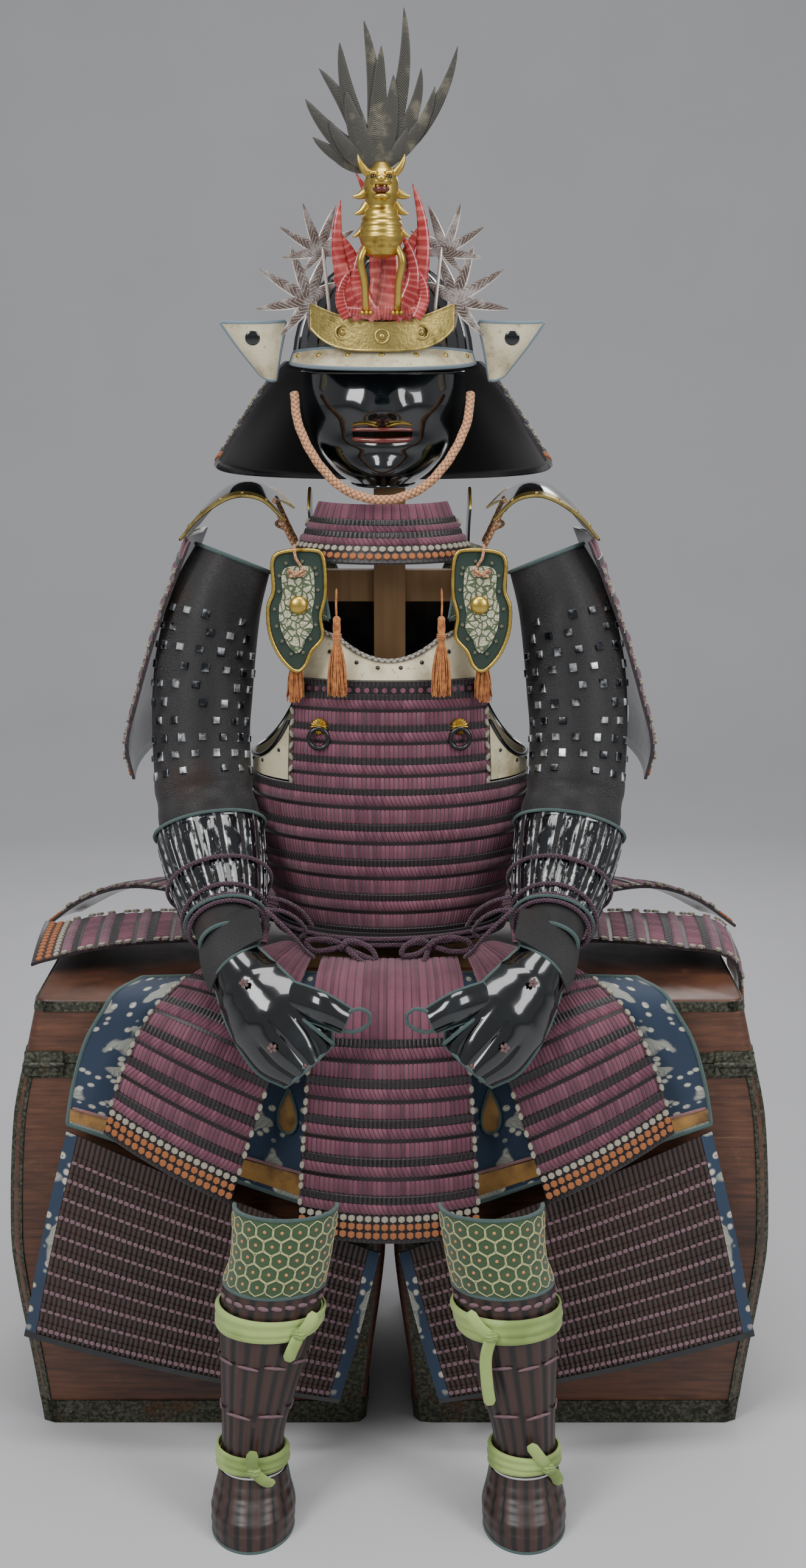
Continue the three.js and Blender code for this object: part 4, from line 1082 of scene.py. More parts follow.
def outline_rope(form, radius, out, count=40, paint=0, top=True):
    """Piping round the four edges of a form."""
    up = np.linspace(0, 1, count)
    lines = [
        surface(form, np.full(count, -1.0), up, out)[0], surface(
            form, np.linspace(-1, 1, count), np.ones(count), out
        )[0],
        surface(form, np.full(count, 1.0), up[::-1], out)[0], surface(
            form, np.linspace(1, -1, count), np.zeros(count), out
        )[0],
    ]
    if not top:
        return [rope(np.vstack([lines[2], lines[3][1:], lines[0][1:]]), radius, 7, 5, paint=paint)]
    ring = np.vstack([line[:-1] for line in lines])
    return [rope(ring, radius, 7, 5, loop=True, paint=paint)]


STANDING = [(100, 165), (100, 235), (1112, 1186)]


def standing_plate(u, v):
    y = 200 + 35 * u
    top = STANDING[2][0] + (STANDING[2][1] - STANDING[2][0]) * np.sqrt(np.maximum(0, 1 - 0.55 * u**2))
    return xyz(101.5 + 2.2 * v**2, y, STANDING[2][0] + (top - STANDING[2][0]) * v)


pair(
    "strap_padded",
    shell(strap_form, 8, 32, 6.0, pillow(2.0), 0) + outline_rope(strap_form, 2.4, -2.6, paint=1)
    + shell(standing_plate, 12, 8, 3.0, 0.0, 2) + [
        rope(standing_plate(np.linspace(-1, 1, 24), np.ones(24)) - (1.5, 0, 0), 2.0, 8, 3, paint=3)
    ],
    [green_brocade, piping, black_lacquer, gilt],
    "cloth_green",
    ["shoulder_strap"],
)

# ---------------------------------------------------------------- leaf plates
# Each hangs on a peach cord: dark green cloth in a beaded brass rim, a lighter panel of
# scrolling leaves, small squares round it, and a domed gilt boss.
LEAF_PLATE = [
    (80, 1110), (92, 1120), (130, 1118), (142, 1106), (141, 1072), (148, 1050), (146, 1018),
    (134, 990), (116, 972), (104, 978), (96, 996), (82, 1014), (84, 1040), (78, 1068),
]
LEAF_PLATE_Y = 60.0


def flat_plate(outline, y, thickness, crown, rings=10, count=96, paint=0, centre=None):
    """A domed plate with a smooth outline, facing the front."""
    ring, _ = smooth_line([(x, y, z) for x, z in outline], count + 1, True)
    middle = ring[:-1].mean(0) if centre is None else np.array((centre[0], y, centre[1]))
    rows = []
    for share in np.linspace(1, 0, rings):
        row = middle + (ring - middle) * share
        row[:, 1] = y - crown * (1 - share**2)
        rows.append(row)
    rows = np.array(rows)
    back = rows[0] + (0, thickness, 0)
    uv = np.stack([rows[..., 0] - middle[0], rows[..., 2] - middle[2]], -1) / 1000
    faces = quads(rings, count + 1)
    area = ((ring[:-1, 0] * ring[1:, 2]) - (ring[1:, 0] * ring[:-1, 2])).sum()
    flip = area < 0
    turn = (lambda fs: [f[::-1] for f in fs]) if flip else (lambda fs: fs)
    rim = np.stack([back, rows[0]])
    floor_rows = np.stack([np.tile(back.mean(0), (count + 1, 1)), back])
    return [
        Part(rows, turn(faces), uv, paint),
        Part(rim, turn(quads(2, count + 1)), np.zeros((2, count + 1, 2)), paint),
        Part(floor_rows, turn(quads(2, count + 1)), np.zeros((2, count + 1, 2)), paint),
    ], ring


green_cloth = Paint("dark_green_cloth", Sheen_Weight=0.2)
gu, gv = green_cloth.uv()
threads = (gu * 1300.0).ridge() * (gv * 1300.0).ridge()
dark_green_cloth = green_cloth.finish(
    green_cloth.mix(
        tint(22, 40, 34), tint(48, 74, 62), threads + green_cloth.noise(80, 3) * 0.4
    ), 0.85, threads, 0.0005
)
scroll = Paint("scrolled_cloth")
su, sv = scroll.uv()
swirl_where = scroll.vector(su, sv)
bend_x = scroll.noise(70, 1, swirl_where)
stems = scroll.cells(120, scroll.vector(su + bend_x * 0.012, sv + bend_x * 0.01), "DISTANCE_TO_EDGE")
veins = ((su * 330.0 + bend_x * 9.0).ridge() * (sv * 260.0 - bend_x * 7.0).ridge()).ramp(0.15, 0.4)
scroll_line = (stems.ramp(0.05, 0.12)) * (0.45 + veins * 0.55)
scrolled_cloth = scroll.finish(
    scroll.mix(
        tint(74, 88, 62), tint(206, 200, 172), scroll_line
    ), 0.8, scroll_line + scroll.noise(600, 2) * 0.3, 0.0008
)
plate_parts, plate_outline = flat_plate(LEAF_PLATE, LEAF_PLATE_Y, 4.0, 3.0)
centre_x, centre_z = plate_outline[:-1, 0].mean(), plate_outline[:-1, 2].mean()
inner = [(centre_x + (x - centre_x) * 0.62, centre_z + (z - centre_z) * 0.72) for x, z in LEAF_PLATE]
panel_parts, panel_outline = flat_plate(inner, LEAF_PLATE_Y - 3.0, 1.5, 1.4, 8, 72, 1)
squares = []
for point in panel_outline[:-1:5]:
    way = np.array((point[0] - centre_x, 0, point[2] - centre_z))
    way /= np.linalg.norm(way)
    squares += knots([point + way * 5.5 + (0, 1.0, 0)], [(0.0, -1.0, 0.0)], [way], 5.5, 5.5, 1.4, 1, 4)
boss_at = np.array((centre_x - 2, LEAF_PLATE_Y - 5.5, centre_z + 2))
pair(
    "leaf_plate_dressed",
    plate_parts + panel_parts + squares
    + [rope(plate_outline[:-1] - (0, 1.2, 0), 2.4, 10, 1.8, loop=True, strands=2, lay=2.6, paint=2)]
    + studs([boss_at], [(0, -1, 0)], 11.5, 6.5, 2, 28)
    + [rope(
        [
            (centre_x - 11, 57, 1094), (centre_x - 3, 53, 1090), (centre_x + 8, 53, 1096),
            (centre_x + 10, 56, 1092)
        ],
        2.0, 8, 1.5, strands=3, lay=5, paint=3
    ),
       rope(
           [(centre_x - 10, 56, 1098), (centre_x - 2, 51, 1093), (centre_x + 9, 53, 1088)], 2.0, 8, 1.5,
           strands=3, lay=5, paint=3
       ),
       rope(
           [
               (centre_x - 6, 57, 1100), (centre_x + 1, 54, 1112), (centre_x + 2, 62, 1124),
               (centre_x - 6, 88, 1070)
           ],
           1.8, 8, 2, strands=3, lay=5, paint=3
       )],
    [dark_green_cloth, scrolled_cloth, gilt, peach_braid],
    "leather_ivory",
    ["leaf_plate"],
)

# ---------------------------------------------------------------- tassels
# Orange silk tassels: a bound head on a thin cord over a skirt of loose, uneven threads.
TASSEL_X, TASSEL_Y, TASSEL_TOP, TASSEL_BOTTOM, TASSEL_SKIRT = 64.0, 52.0, 1040.0, 940.0, 13.0


def tassel(x, y, top, bottom, skirt, threads, seed):
    """A tassel hung at its top."""
    random = np.random.default_rng(seed)
    head = top - 0.30 * (top - bottom)
    parts = [
        rope([(x, y, top + 34), (x + 0.6, y, top + 14), (x, y, top - 2)], 1.3, 6, 4),
        rope(
            [(x, y, top), (x, y, top - 4), (x, y, (top + head) / 2), (x, y, head - 2)], 4.6, 12, 2.5,
            strands=4, lay=3
        ),
    ]
    for turn in np.linspace(0, 2 * math.pi, 4)[:3]:
        ring = [
            (x + 5.1 * math.cos(a), y + 5.1 * math.sin(a), head + 3 + 2.4 * turn / 2.1)
            for a in np.linspace(0, 2 * math.pi, 12, endpoint=False)
        ]
        parts.append(rope(ring, 1.1, 6, 3, loop=True))
    for _ in range(threads):
        angle, share = random.uniform(0, 2 * math.pi), math.sqrt(random.uniform(0.05, 1))
        out = skirt * share * random.uniform(0.75, 1.05)
        end = bottom + random.uniform(0, 9)
        sway = random.uniform(-2.2, 2.2, 2)
        parts.append(
            rope(
                [
                    (x + 3 * share * math.cos(angle), y + 3 * share * math.sin(angle), head + 1),
                    (
                        x + out * 0.7 * math.cos(angle) + sway[0],
                        y + out * 0.7 * math.sin(angle) + sway[1], (head * 0.55 + end * 0.45)
                    ),
                    (x + out * math.cos(angle), y + out * math.sin(angle), end),
                ],
                0.95, 4, 13,
            )
        )
    return parts


thread = Paint("orange_thread", Sheen_Weight=0.3)
_, tv = thread.uv()
thread_tone = thread.noise(160, 3)
orange_thread = thread.finish(
    thread.mix(
        tint(150, 82, 40), tint(214, 138, 72), thread_tone.ramp(0.25, 0.7)
    ), 0.8, (tv * 900.0).ridge(), 0.0004
)
pair(
    "tassel_silk",
    tassel(TASSEL_X, TASSEL_Y, TASSEL_TOP, TASSEL_BOTTOM, TASSEL_SKIRT, 110, 5)
    + tassel(116, 74, 1010, 930, 12, 70, 6),
    orange_thread,
    "silk_orange",
    ["tassel"],
)

# ---------------------------------------------------------------- waist cord
# A dark plum braid wound twice round the waist over a black band, tied in two bows whose
# loops and ends lie forward on the tassets.
CORD_HALF_X, CORD_HALF_Y, CORD_LOW, CORD_HIGH = 146.0, 115.0, 614.0, 634.0


def waist_band(u, v):
    angle = math.pi * u
    z = CORD_LOW + (CORD_HIGH - CORD_LOW) * v
    flare = (z - CORD_LOW) * 0.3
    return xyz((CORD_HALF_X + flare) * np.sin(angle), BODY_Y - (CORD_HALF_Y + flare) * np.cos(angle), z)


def waist_turn(z, out, dip):
    turns = np.linspace(0, 2 * math.pi, 48, endpoint=False)
    return [
        (
            (CORD_HALF_X + out) * math.sin(a), BODY_Y - (CORD_HALF_Y + out) * math.cos(a),
            z + dip * math.sin(3 * a)
        ) for a in turns
    ]


plum_braid = braid_paint("plum_braid", (92, 62, 78), (32, 20, 28), 240, 0.8)
band = Paint("black_band", Sheen_Weight=0.15)
band_u, _ = band.uv()
band_weave = (band_u * 700.0).ridge()
black_band = band.finish(band.mix(tint(14, 12, 14), tint(44, 40, 42), band_weave), 0.7, band_weave, 0.0006)
build(
    "waist_cord_wound",
    shell(waist_band, 96, 4, 2.0, 0.0, 1, ring=True)
    + [
        rope(waist_turn(627, 6, 1.0), 3.2, 8, 3, loop=True, strands=3, lay=5),
        rope(waist_turn(619, 5, 0.8), 3.2, 8, 3, loop=True, strands=3, lay=5)
    ],
    [plum_braid, black_band],
    "lacing_dark",
    ["waist_cord"],
)
BOWS = [  # loops and ends in front of the waist, each a line of points
    [(-60, 60, 622), (-80, 52, 630), (-104, 52, 628), (-96, 50, 616), (-72, 54, 617), (-58, 58, 621)],
    [(-60, 60, 622), (-44, 50, 628), (-24, 46, 620), (-18, 44, 606), (-38, 48, 612), (-58, 56, 620)],
    [(-58, 56, 620), (-46, 46, 612), (-32, 38, 602), (-20, 33, 594)],
    [(52, 60, 622), (38, 50, 630), (20, 44, 624), (16, 44, 612), (34, 48, 612), (50, 56, 620)],
    [(52, 60, 622), (70, 52, 632), (96, 50, 630), (102, 50, 618), (80, 52, 614), (54, 56, 620)],
    [(50, 56, 620), (44, 42, 606), (36, 30, 594), (24, 12, 582), (16, -8, 572)],
]
bow_parts = [rope(line, 3.4, 9, 2.2, strands=3, lay=5) for line in BOWS]
bow_parts += [
    rope(
        [(x - 5, 53, 617), (x, 50, 623), (x + 6, 54, 628), (x + 2, 58, 618), (x - 5, 53, 617)], 3.8, 9, 2.2,
        strands=3, lay=5
    )
    for x in (-59, 51)
]
build("waist_bows", bow_parts, plum_braid, "lacing_dark")

# ---------------------------------------------------------------- tassets
# Seven laced skirts: long laces from the waist, four lames and a lowest plate with one row of
# ivory and two of orange cross-knots. The front three hang over the thighs, four lie on the lids.
TASSET_FRONT = [
    (0, 112, -104, 304), (0.3, 106, -103, 394), (0.55, 101, -98, 474),
    (0.75, 96, -80, 546), (0.88, 92, -22, 594), (1, 86, 60, 606),
]
TASSET_FRONT_SIDE = [
    (0, 194, -104, 340, 348, -84, 424), (
        0.35, 166, -100, 430, 322, -78, 506
    ), (0.65, 136, -84, 518, 284, -52, 576),
    (0.85, 112, -24, 590, 222, 22, 608), (1, 98, 62, 606, 150, 104, 607),
]
TASSET_REAR = [
    (0, 468, 232, 596, 436, 336, 590), (
        0.25, 412, 236, 634, 372, 352, 618
    ), (0.5, 345, 238, 650, 296, 364, 626),
    (0.75, 255, 230, 636, 190, 358, 622), (1, 158, 224, 606, 52, 310, 606),
]


def tasset_front(u, v):
    half, y, z = between(TASSET_FRONT, v)
    crown = 10 * (1 - u**2)
    return xyz(u * half, y - crown, z - crown * (1 - v))


def tasset_side(end_x, end_z):
    return panel(
        [
            (0, end_x, 80, end_z, end_x + 4, 215, end_z + 20), (0.25, 440, 82, 594, 444, 215, 604),
            (0.5, 368, 84, 610, 374, 215, 616), (
                0.75, 275, 100, 614, 280, 218, 618
            ), (1, 160, 122, 606, 160, 208, 606),
        ],
        4,
    )


FOOT_BANDS = [
    Band(EDGE, 5), Band(BEDS, 11), Band(BEDS, 11), Band(BEDS, 10), Band(ROLL, 14), Band(HEADS, 10.5)
]
SPOTTED = ((5.5 + 5, 10.2, 1), (16.5 + 5, 10.2, 1), (27 + 5, 9.4, 0))  # height, knot, ivory or orange


def hung(form, laces, lames=4, foot=FOOT_BANDS, spotted=SPOTTED, lame=LONG_LAME, edges=(-1, 1), lift=0.0):
    """A hung laced panel with its cross-knots and the knots up its edges, painted in this order:
    lacing, lacquer inside, ivory knots, orange knots."""
    v_at, run = heights_on(form)
    bands = list(foot) + list(lame) * lames
    rest = run[-1] - sum(b.height for b in bands)
    parts = laced(form, bands + [Band(STRANDS, max(6.0, rest))], laces, lift=lift)
    total = sum(b.height for b in bands) + max(6.0, rest)
    for height, size, orange in spotted:
        v = float(np.interp(height / total * run[-1], run, v_at))
        parts += bead_row(form, v, 10.2, size, 3.0, lift + 1.0, 3 if orange else 2)
    low = sum(b.height for b in foot[:-2])
    spots = [low + 7]
    at = low + sum(b.height for b in foot[-2:])
    for _ in range(lames):
        spots += [at + 4, at + 15, at + 31]
        at += sum(b.height for b in lame)
    for side in edges:
        levels = np.interp(np.array(spots) / total * run[-1], run, v_at)
        places, faces = surface(form, np.full(len(levels), side * 0.985), levels, lift + 3.4)
        ups = form(np.full(len(levels), side), levels + 0.01) - form(np.full(len(levels), side), levels)
        parts += knots(places, faces, ups, 6.5, 10.5, 2.8, 2)
    return parts


LACED = [plum_lacing, black_lacquer, ivory_silk, orange_silk]
build("tasset_front_laced", hung(tasset_front, 37), LACED, "lacing_plum", ["tasset_front"])
pair(
    "tasset_front_side_laced", hung(panel(TASSET_FRONT_SIDE, 12), 33), LACED, "lacing_plum",
    ["tasset_front_side"]
)
build(
    "tasset_side_right_laced", hung(tasset_side(454, 526), 25), LACED, "lacing_plum", ["tasset_side_right"]
)
build(
    "tasset_side_left_laced", mirror(hung(tasset_side(460, 588), 25)), LACED, "lacing_plum",
    ["tasset_side_left"]
)
pair("tasset_rear_laced", hung(panel(TASSET_REAR, 4), 26), LACED, "lacing_plum", ["tasset_rear"])

# ---------------------------------------------------------------- thigh guards, cloth
# Indigo cotton with small white blossoms and large ivory leaves, blue-green piping, a pink
# cord and a golden-brown leather band above the scales, and a brown teardrop slit.
HAIDATE_CLOTH = [
    (0, 14, -62, 290, 396, -62, 428), (
        0.3, 14, -58, 390, 388, -54, 476
    ), (0.6, 14, -54, 485, 372, -46, 530),
    (0.8, 16, -44, 560, 350, -38, 568), (0.88, 18, -20, 581, 338, -18, 583), (1, 24, 56, 586, 312, 40, 584),
]
HAIDATE_FOLDS = [  # u, v, width, height, slant and depth of each soft trough or ridge
    (
        0.55, 0.62, 0.05, 0.22, 0.5, -2.2
    ), (0.78, 0.52, 0.06, 0.30, -0.4, 1.8), (0.30, 0.70, 0.04, 0.16, 0.9, 1.4),
    (
        -0.35, 0.45, 0.05, 0.25, -0.3, -1.6
    ), (0.9, 0.72, 0.05, 0.14, 0.6, -2.0), (-0.6, 0.75, 0.06, 0.18, 0.2, 1.5),
]
haidate_form = panel(HAIDATE_CLOTH)


def haidate_folds(u, v):
    out = np.zeros(np.broadcast(u, v).shape)
    for at_u, at_v, wide, tall, slant, depth in HAIDATE_FOLDS:
        along = v - at_v
        out += depth * np.exp(-(((u - at_u - slant * along) / wide) ** 2) - (along / tall) ** 2)
    return out


indigo = Paint("indigo_print", Sheen_Weight=0.15)
iu, iv = indigo.uv()
print_where = indigo.vector(iu, iv)
warp = indigo.noise(34, 2, print_where)
blossom = indigo.cells(62, print_where)
petals = indigo.cells(210, print_where)
leaves = indigo.noise(19, 1, indigo.vector(iu + 3.1, iv + warp * 0.035))
leaf_veins = ((iu + iv * 0.8 + warp * 0.04) * 150.0).ridge()
big = leaves.ramp(0.565, 0.60)
small = ((1.0 - blossom.ramp(0.20, 0.34)) * petals.ramp(0.10, 0.28)) * (1.0 - big)
cotton = (iu * 1500.0).ridge() * (iv * 1500.0).ridge()
ground = indigo.mix(tint(26, 42, 66), tint(56, 82, 112), indigo.noise(9, 4) * 0.8 + cotton * 0.2)
ink = indigo.mix(tint(228, 224, 206), tint(150, 160, 150), leaf_veins.ramp(0.7, 0.95) * big)
printed = indigo.mix(ground, ink, (big * (0.45 + leaf_veins * 0.55) + small).low(1.0))
indigo_cloth = indigo.finish(printed, 0.88, cotton + indigo.noise(30, 3) * 0.5, 0.0005)

band_paint = Paint("brown_leather", Coat_Weight=0.15)
smoke = band_paint.noise(26, 5)
brown_leather = band_paint.finish(
    band_paint.mix(
        tint(164, 122, 62), tint(70, 46, 28), smoke.ramp(0.35, 0.72)
    ), 0.55, band_paint.cells(900), 0.0005
)
pink_cord = braid_paint("pink_cord", (184, 132, 130), (96, 56, 60), 420)
cloth_rims = (0.03, 0.12)


def strip(form, low, high, sides=(-1.0, 1.0)):
    """A narrower form cut from a wider one."""
    return lambda u, v: form(sides[0] + (u + 1) / 2 * (sides[1] - sides[0]), low + (high - low) * v)


def teardrop(form, at_u, at_v, wide, tall, out, paint):
    """A drop with its point up, laid on a form."""
    turn = np.linspace(0, 2 * math.pi, 41)
    ring_x = wide * np.sin(turn) * np.sin(turn / 2) ** 1.2
    ring_y = tall * np.cos(turn)
    rows = [
        surface(form, at_u + ring_x * s, at_v + ring_y * s, out + 1.4 * (1 - s**2))[0]
        for s in np.linspace(1, 0, 6)
    ]
    rows = np.array(rows)
    rim = [rope(rows[0][:-1] , 1.8, 7, 3, loop=True, paint=paint + 1)]
    return [Part(rows, [f[::-1] for f in quads(6, 41)], np.zeros((6, 41, 2)), paint)] + rim


cloth_run = float(heights_on(haidate_form)[1][-1])
cloth_mesh = shell(haidate_form, 54, 54, 2.2, haidate_folds)
trims = (
    outline_rope(haidate_form, 2.6, 0.0, 50, 0)
    + [
        rope(
            surface(haidate_form, np.linspace(-0.98, 0.98, 50), np.full(50, cloth_rims[1] + 0.012), 1.5)[0],
            1.9, 7, 4, paint=1
        )
    ]
    + shell(
        strip(haidate_form, cloth_rims[0], cloth_rims[1], (-0.99, 0.99)), 60, 3, 1.2, lambda u,
        v: 1.8 - 0.8 * np.abs(2 * v - 1) ** 3, 2
    )
    + teardrop(haidate_form, -0.40, 0.40, 0.085, 0.105, 2.0, 2)
)
for side, sign in (("right", 1), ("left", -1)):
    turned = (lambda parts: parts) if sign > 0 else mirror
    cloth = build(
        f"haidate_cloth_{side}_print", turned(cloth_mesh), indigo_cloth, "cloth_indigo",
        [f"haidate_cloth_{side}"], sharp=60
    )
    trim_piece = build(
        f"haidate_trim_{side}", turned(trims), [piping, pink_cord, brown_leather, piping], "cloth_indigo"
    )
    "chest_cover_" + side
    "chest_body_" + side

# ---------------------------------------------------------------- thigh guards, scales
# Narrow upright scales in brown-black lacquer, with small plum knots in level rows, alternately
# wider and smaller, and a strip of ivory and indigo cloth down each edge.
HAIDATE_SCALES = [
    (0, 63, -96, 72, 456, -78, 154), (0.5, 36, -84, 165, 428, -74, 290), (1, 12, -72, 262, 396, -66, 420),
]
scales_form = panel(HAIDATE_SCALES, 16)
SCALE_COUNT = 62
SCALE_ROWS = 11


def scale_relief(u, v):
    x = (u + 1) / 2 * SCALE_COUNT
    row = (v * SCALE_ROWS) % 1
    return 1.1 * np.abs(np.sin(math.pi * x)) ** 0.6 + 1.3 * row - 0.8


scale_us = np.sort(
    np.concatenate(
        [(np.array([0.0, 0.25, 0.75]) + k) / SCALE_COUNT * 2 - 1 for k in range(SCALE_COUNT)] + [[1.0]]
    )
)
scale_vs = np.sort(
    np.r_[np.linspace(0, 1, SCALE_ROWS + 1)[:-1] + 1e-4, np.linspace(0, 1, SCALE_ROWS + 1)[1:] - 1e-4]
)
scale_vs[0], scale_vs[-1] = 0, 1
brown = Paint("brown_lacquer", Coat_Weight=0.35, Coat_Roughness=0.25)
ru, _ = brown.uv()
seam = (ru * SCALE_COUNT).ridge()
brown_cloud = brown.noise(11, 5)
rubbed = brown.noise(90, 4)
# Painted shade: each scale darkens towards the seams at its sides and is lightest along its middle;
# brown_cloud adds random tone and rubbed adds lighter wear.
brown_colour = brown.mix(
    tint(20, 14, 13), tint(66, 44, 38), (seam.ramp(0.2, 0.9) * 0.5 + brown_cloud * 0.6).ramp(0.25, 0.95)
)
brown_colour = brown.mix(brown_colour, tint(98, 70, 56), rubbed.ramp(0.62, 0.8) * 0.4)
brown_scales = brown.finish(brown_colour, 0.42 + brown_cloud * 0.25, seam, 0.0007)
plum_knots = silk_paint("plum_knots", (160, 118, 130), (60, 36, 44), 4.0)
dots = []
for row in range(1, SCALE_ROWS):
    small_row = row % 2 == 0
    dots += bead_row(
        scales_form, row / SCALE_ROWS - 0.035, 9.2 if small_row else 7.6, 4.6 if small_row else 6.0, 1.8,
        1.2, 1, reach=0.93
    )
for side in (-1, 1):
    edge_strip = strip(scales_form, 0.0, 1.0, (side * 0.965 - 0.035, side * 0.965 + 0.035))
    dots += shell(edge_strip, 2, 30, 1.4, 1.5, 2)
dots += shell(strip(scales_form, 0.0, 0.028), 60, 1, 1.6, 1.8, 3)
pair(
    "haidate_scales_laced",
    shell(scales_form, scale_us, scale_vs, 2.6, scale_relief, 0, scale=(0.5, 1.0), shift=(0.5, 0.0)) + dots,
    [brown_scales, plum_knots, indigo_cloth, black_lacquer],
    "lacing_dark",
    ["haidate_scales"],
)

# ---------------------------------------------------------------- sleeves
# Cloth tubes under fine mail. Small lacquered plates set in the mail carry painted glints on the upper arm,
# and the inner side shows the patterned cloth. The elbow is gathered in a crease.
SLEEVE = [
    (0, 194, -34, 652, 36, 30), (0.12, 203, 6, 672, 44, 38), (
        0.25, 214, 52, 704, 54, 48
    ), (0.4, 230, 104, 768, 63, 56),
    (0.52, 240, 136, 836, 62, 58), (0.68, 240, 160, 930, 64, 60), (
        0.85, 226, 178, 1030, 60, 60
    ), (1, 200, 188, 1100, 50, 52),
]
SLEEVE_FOLDS = [  # u, v, width, height, slant and depth
    (
        0.00, 0.455, 0.60, 0.018, 0.0, -4.5
    ), (-0.25, 0.43, 0.30, 0.015, 0.3, 3.0), (0.30, 0.48, 0.25, 0.02, -0.4, 2.6),
    (
        -0.45, 0.62, 0.10, 0.05, 1.2, -2.5
    ), (0.35, 0.74, 0.12, 0.05, -0.9, 2.2), (-0.2, 0.86, 0.16, 0.04, 0.8, -2.6),
    (0.6, 0.56, 0.10, 0.07, 0.4, 2.0), (
        -0.7, 0.80, 0.10, 0.06, -0.6, 2.4
    ), (0.85, 0.36, 0.12, 0.05, 0.5, -2.0),
]


def sleeve(u, v):
    u, v = np.broadcast_arrays(np.asarray(u, float), np.asarray(v, float))
    near = 0.02
    x, y, z, half_width, half_depth = between(SLEEVE, v)
    above, below = between(
        SLEEVE, np.minimum(1, v + near)
    )[:3], between(SLEEVE, np.maximum(0, v - near))[:3]
    along = np.moveaxis(np.array(above) - np.array(below), 0, -1)
    along /= np.linalg.norm(along, axis=-1, keepdims=True)
    side = np.array((1.0, 0.0, 0.0)) - along * along[..., :1]
    side /= np.linalg.norm(side, axis=-1, keepdims=True)
    back = np.cross(along, side)
    return (
        xyz(x, y, z)
        + side * (half_width * np.sin(math.pi * u))[..., None]
        - back * (half_depth * np.cos(math.pi * u))[..., None]
    )


def sleeve_folds(u, v):
    out = np.zeros(np.broadcast(u, v).shape)
    for at_u, at_v, wide, tall, slant, depth in SLEEVE_FOLDS:
        gap = (u - at_u + 1) % 2 - 1
        out += depth * np.exp(-((gap / wide) ** 2) - ((v - at_v - slant * gap * 0.1) / tall) ** 2)
    return out


mail = Paint("mail_over_cloth", Sheen_Weight=0.1)
mu, mv = mail.uv()
rings = mail.cells(420, mail.vector(mu, mv), "F1", "Distance", 0.25)
ring_line = (1.0 - ((rings - 0.42).abs() * 7.0).low(1.0))
mail_cloud = mail.noise(17, 4)
print_fold = mail.noise(30, 2, mail.vector(mu, mv))
flowers = mail.cells(46, mail.vector(mu + print_fold * 0.02, mv), "F1")
flower_lines = ((flowers * 9.0).ridge()).ramp(0.5, 0.85)
cloth_side_in = (mu * -1.0 - 0.001).ramp(0.075, 0.12)  # the side towards the body
mail_colour = mail.mix(tint(14, 15, 19), tint(120, 118, 118), ring_line * (0.35 + mail_cloud * 0.5))
mail_colour = mail.mix(mail_colour, tint(70, 44, 30), mail.noise(8, 4).ramp(0.56, 0.72) * 0.5)
print_colour = mail.mix(tint(58, 72, 92), tint(190, 190, 178), flower_lines)
sleeve_colour = mail.mix(mail_colour, print_colour, cloth_side_in)
mail_cloth = mail.finish(
    sleeve_colour, 0.45 + cloth_side_in * 0.4, ring_line * (
        1.0 - cloth_side_in
    ), 0.0012, ring_line * (1.0 - cloth_side_in) * 0.8
)
plate = Paint("plate_lacquer_painted_glints", Metallic=0.55, Coat_Weight=0.6, Coat_Roughness=0.08)
# Painted reflections: near-white patches on the dark plates where glint_cloud is high.
glint_cloud = plate.noise(55, 4)
plate_with_painted_glints = plate.finish(
    plate.mix(
        tint(26, 30, 36), tint(188, 190, 192), glint_cloud.ramp(0.42, 0.66)
    ), 0.16 + glint_cloud * 0.2, plate.noise(20, 3), 0.001
)
random = np.random.default_rng(11)
plates = []
for row, level in enumerate(np.linspace(0.50, 0.84, 10)):
    for column in range(7):
        u = -0.44 + column * 0.135 + (row % 2) * 0.05
        if random.uniform() < 0.08:
            continue
        place, face = surface(
            sleeve, np.array([u]), np.array([level]),
            float(sleeve_folds(np.array(u), np.array(level))) + 0.6
        )
        up = sleeve(np.array([u]), np.array([level + 0.01])) - sleeve(np.array([u]), np.array([level]))
        tall = 13.0 if (row + column) % 3 else 16.0
        plates += knots(place, face, up + random.uniform(-0.2, 0.2), 14.0, tall, 2.4, 1, 4)
cuff = [
    rope(sleeve(np.linspace(-1, 1, 40), np.full(40, v))[:-1], 2.6, 8, 4, loop=True, paint=2)
    for v in (0.004, 0.996)
]
sleeve_shell = shell(sleeve, 56, 72, 2.2, sleeve_folds, 0, ring=True)
sleeve_area = float(
    np.linalg.norm(
        np.cross(
            sleeve_shell[0].points[1:, :-1] - sleeve_shell[0].points[:-1, :-1],
            sleeve_shell[0].points[:-1, 1:] - sleeve_shell[0].points[:-1, :-1],
        ), axis=-1,
    ).sum()
) / 1e6
for side in ("right", "left"):
    turned = mirror if side == "left" else (lambda parts: parts)
    cloth = build(
        f"sleeve_{side}_mail", turned(sleeve_shell), mail_cloth, "mail_dark", [f"sleeve_{side}"], sharp=60
    )
    on_it = build(
        f"sleeve_{side}_plates", turned(plates + cuff), [mail_cloth, plate_with_painted_glints, piping], "mail_dark"
    )
    "strap_padded_" + side

# ---------------------------------------------------------------- forearm splints
# Nine long domed splints in black lacquer with painted highlights along their edges and in patches, joined
# by mail, bound above and below and tied with a plum cord of three strands at the wrist.
SPLINT_LOW, SPLINT_HIGH, SPLINT_SPREAD, SPLINT_LIFT, SPLINT_COUNT = 0.1, 0.39, 0.62, 6.5, 9


def splint_form(u, v):
    return sleeve(u * SPLINT_SPREAD, SPLINT_LOW + (SPLINT_HIGH - SPLINT_LOW) * v)


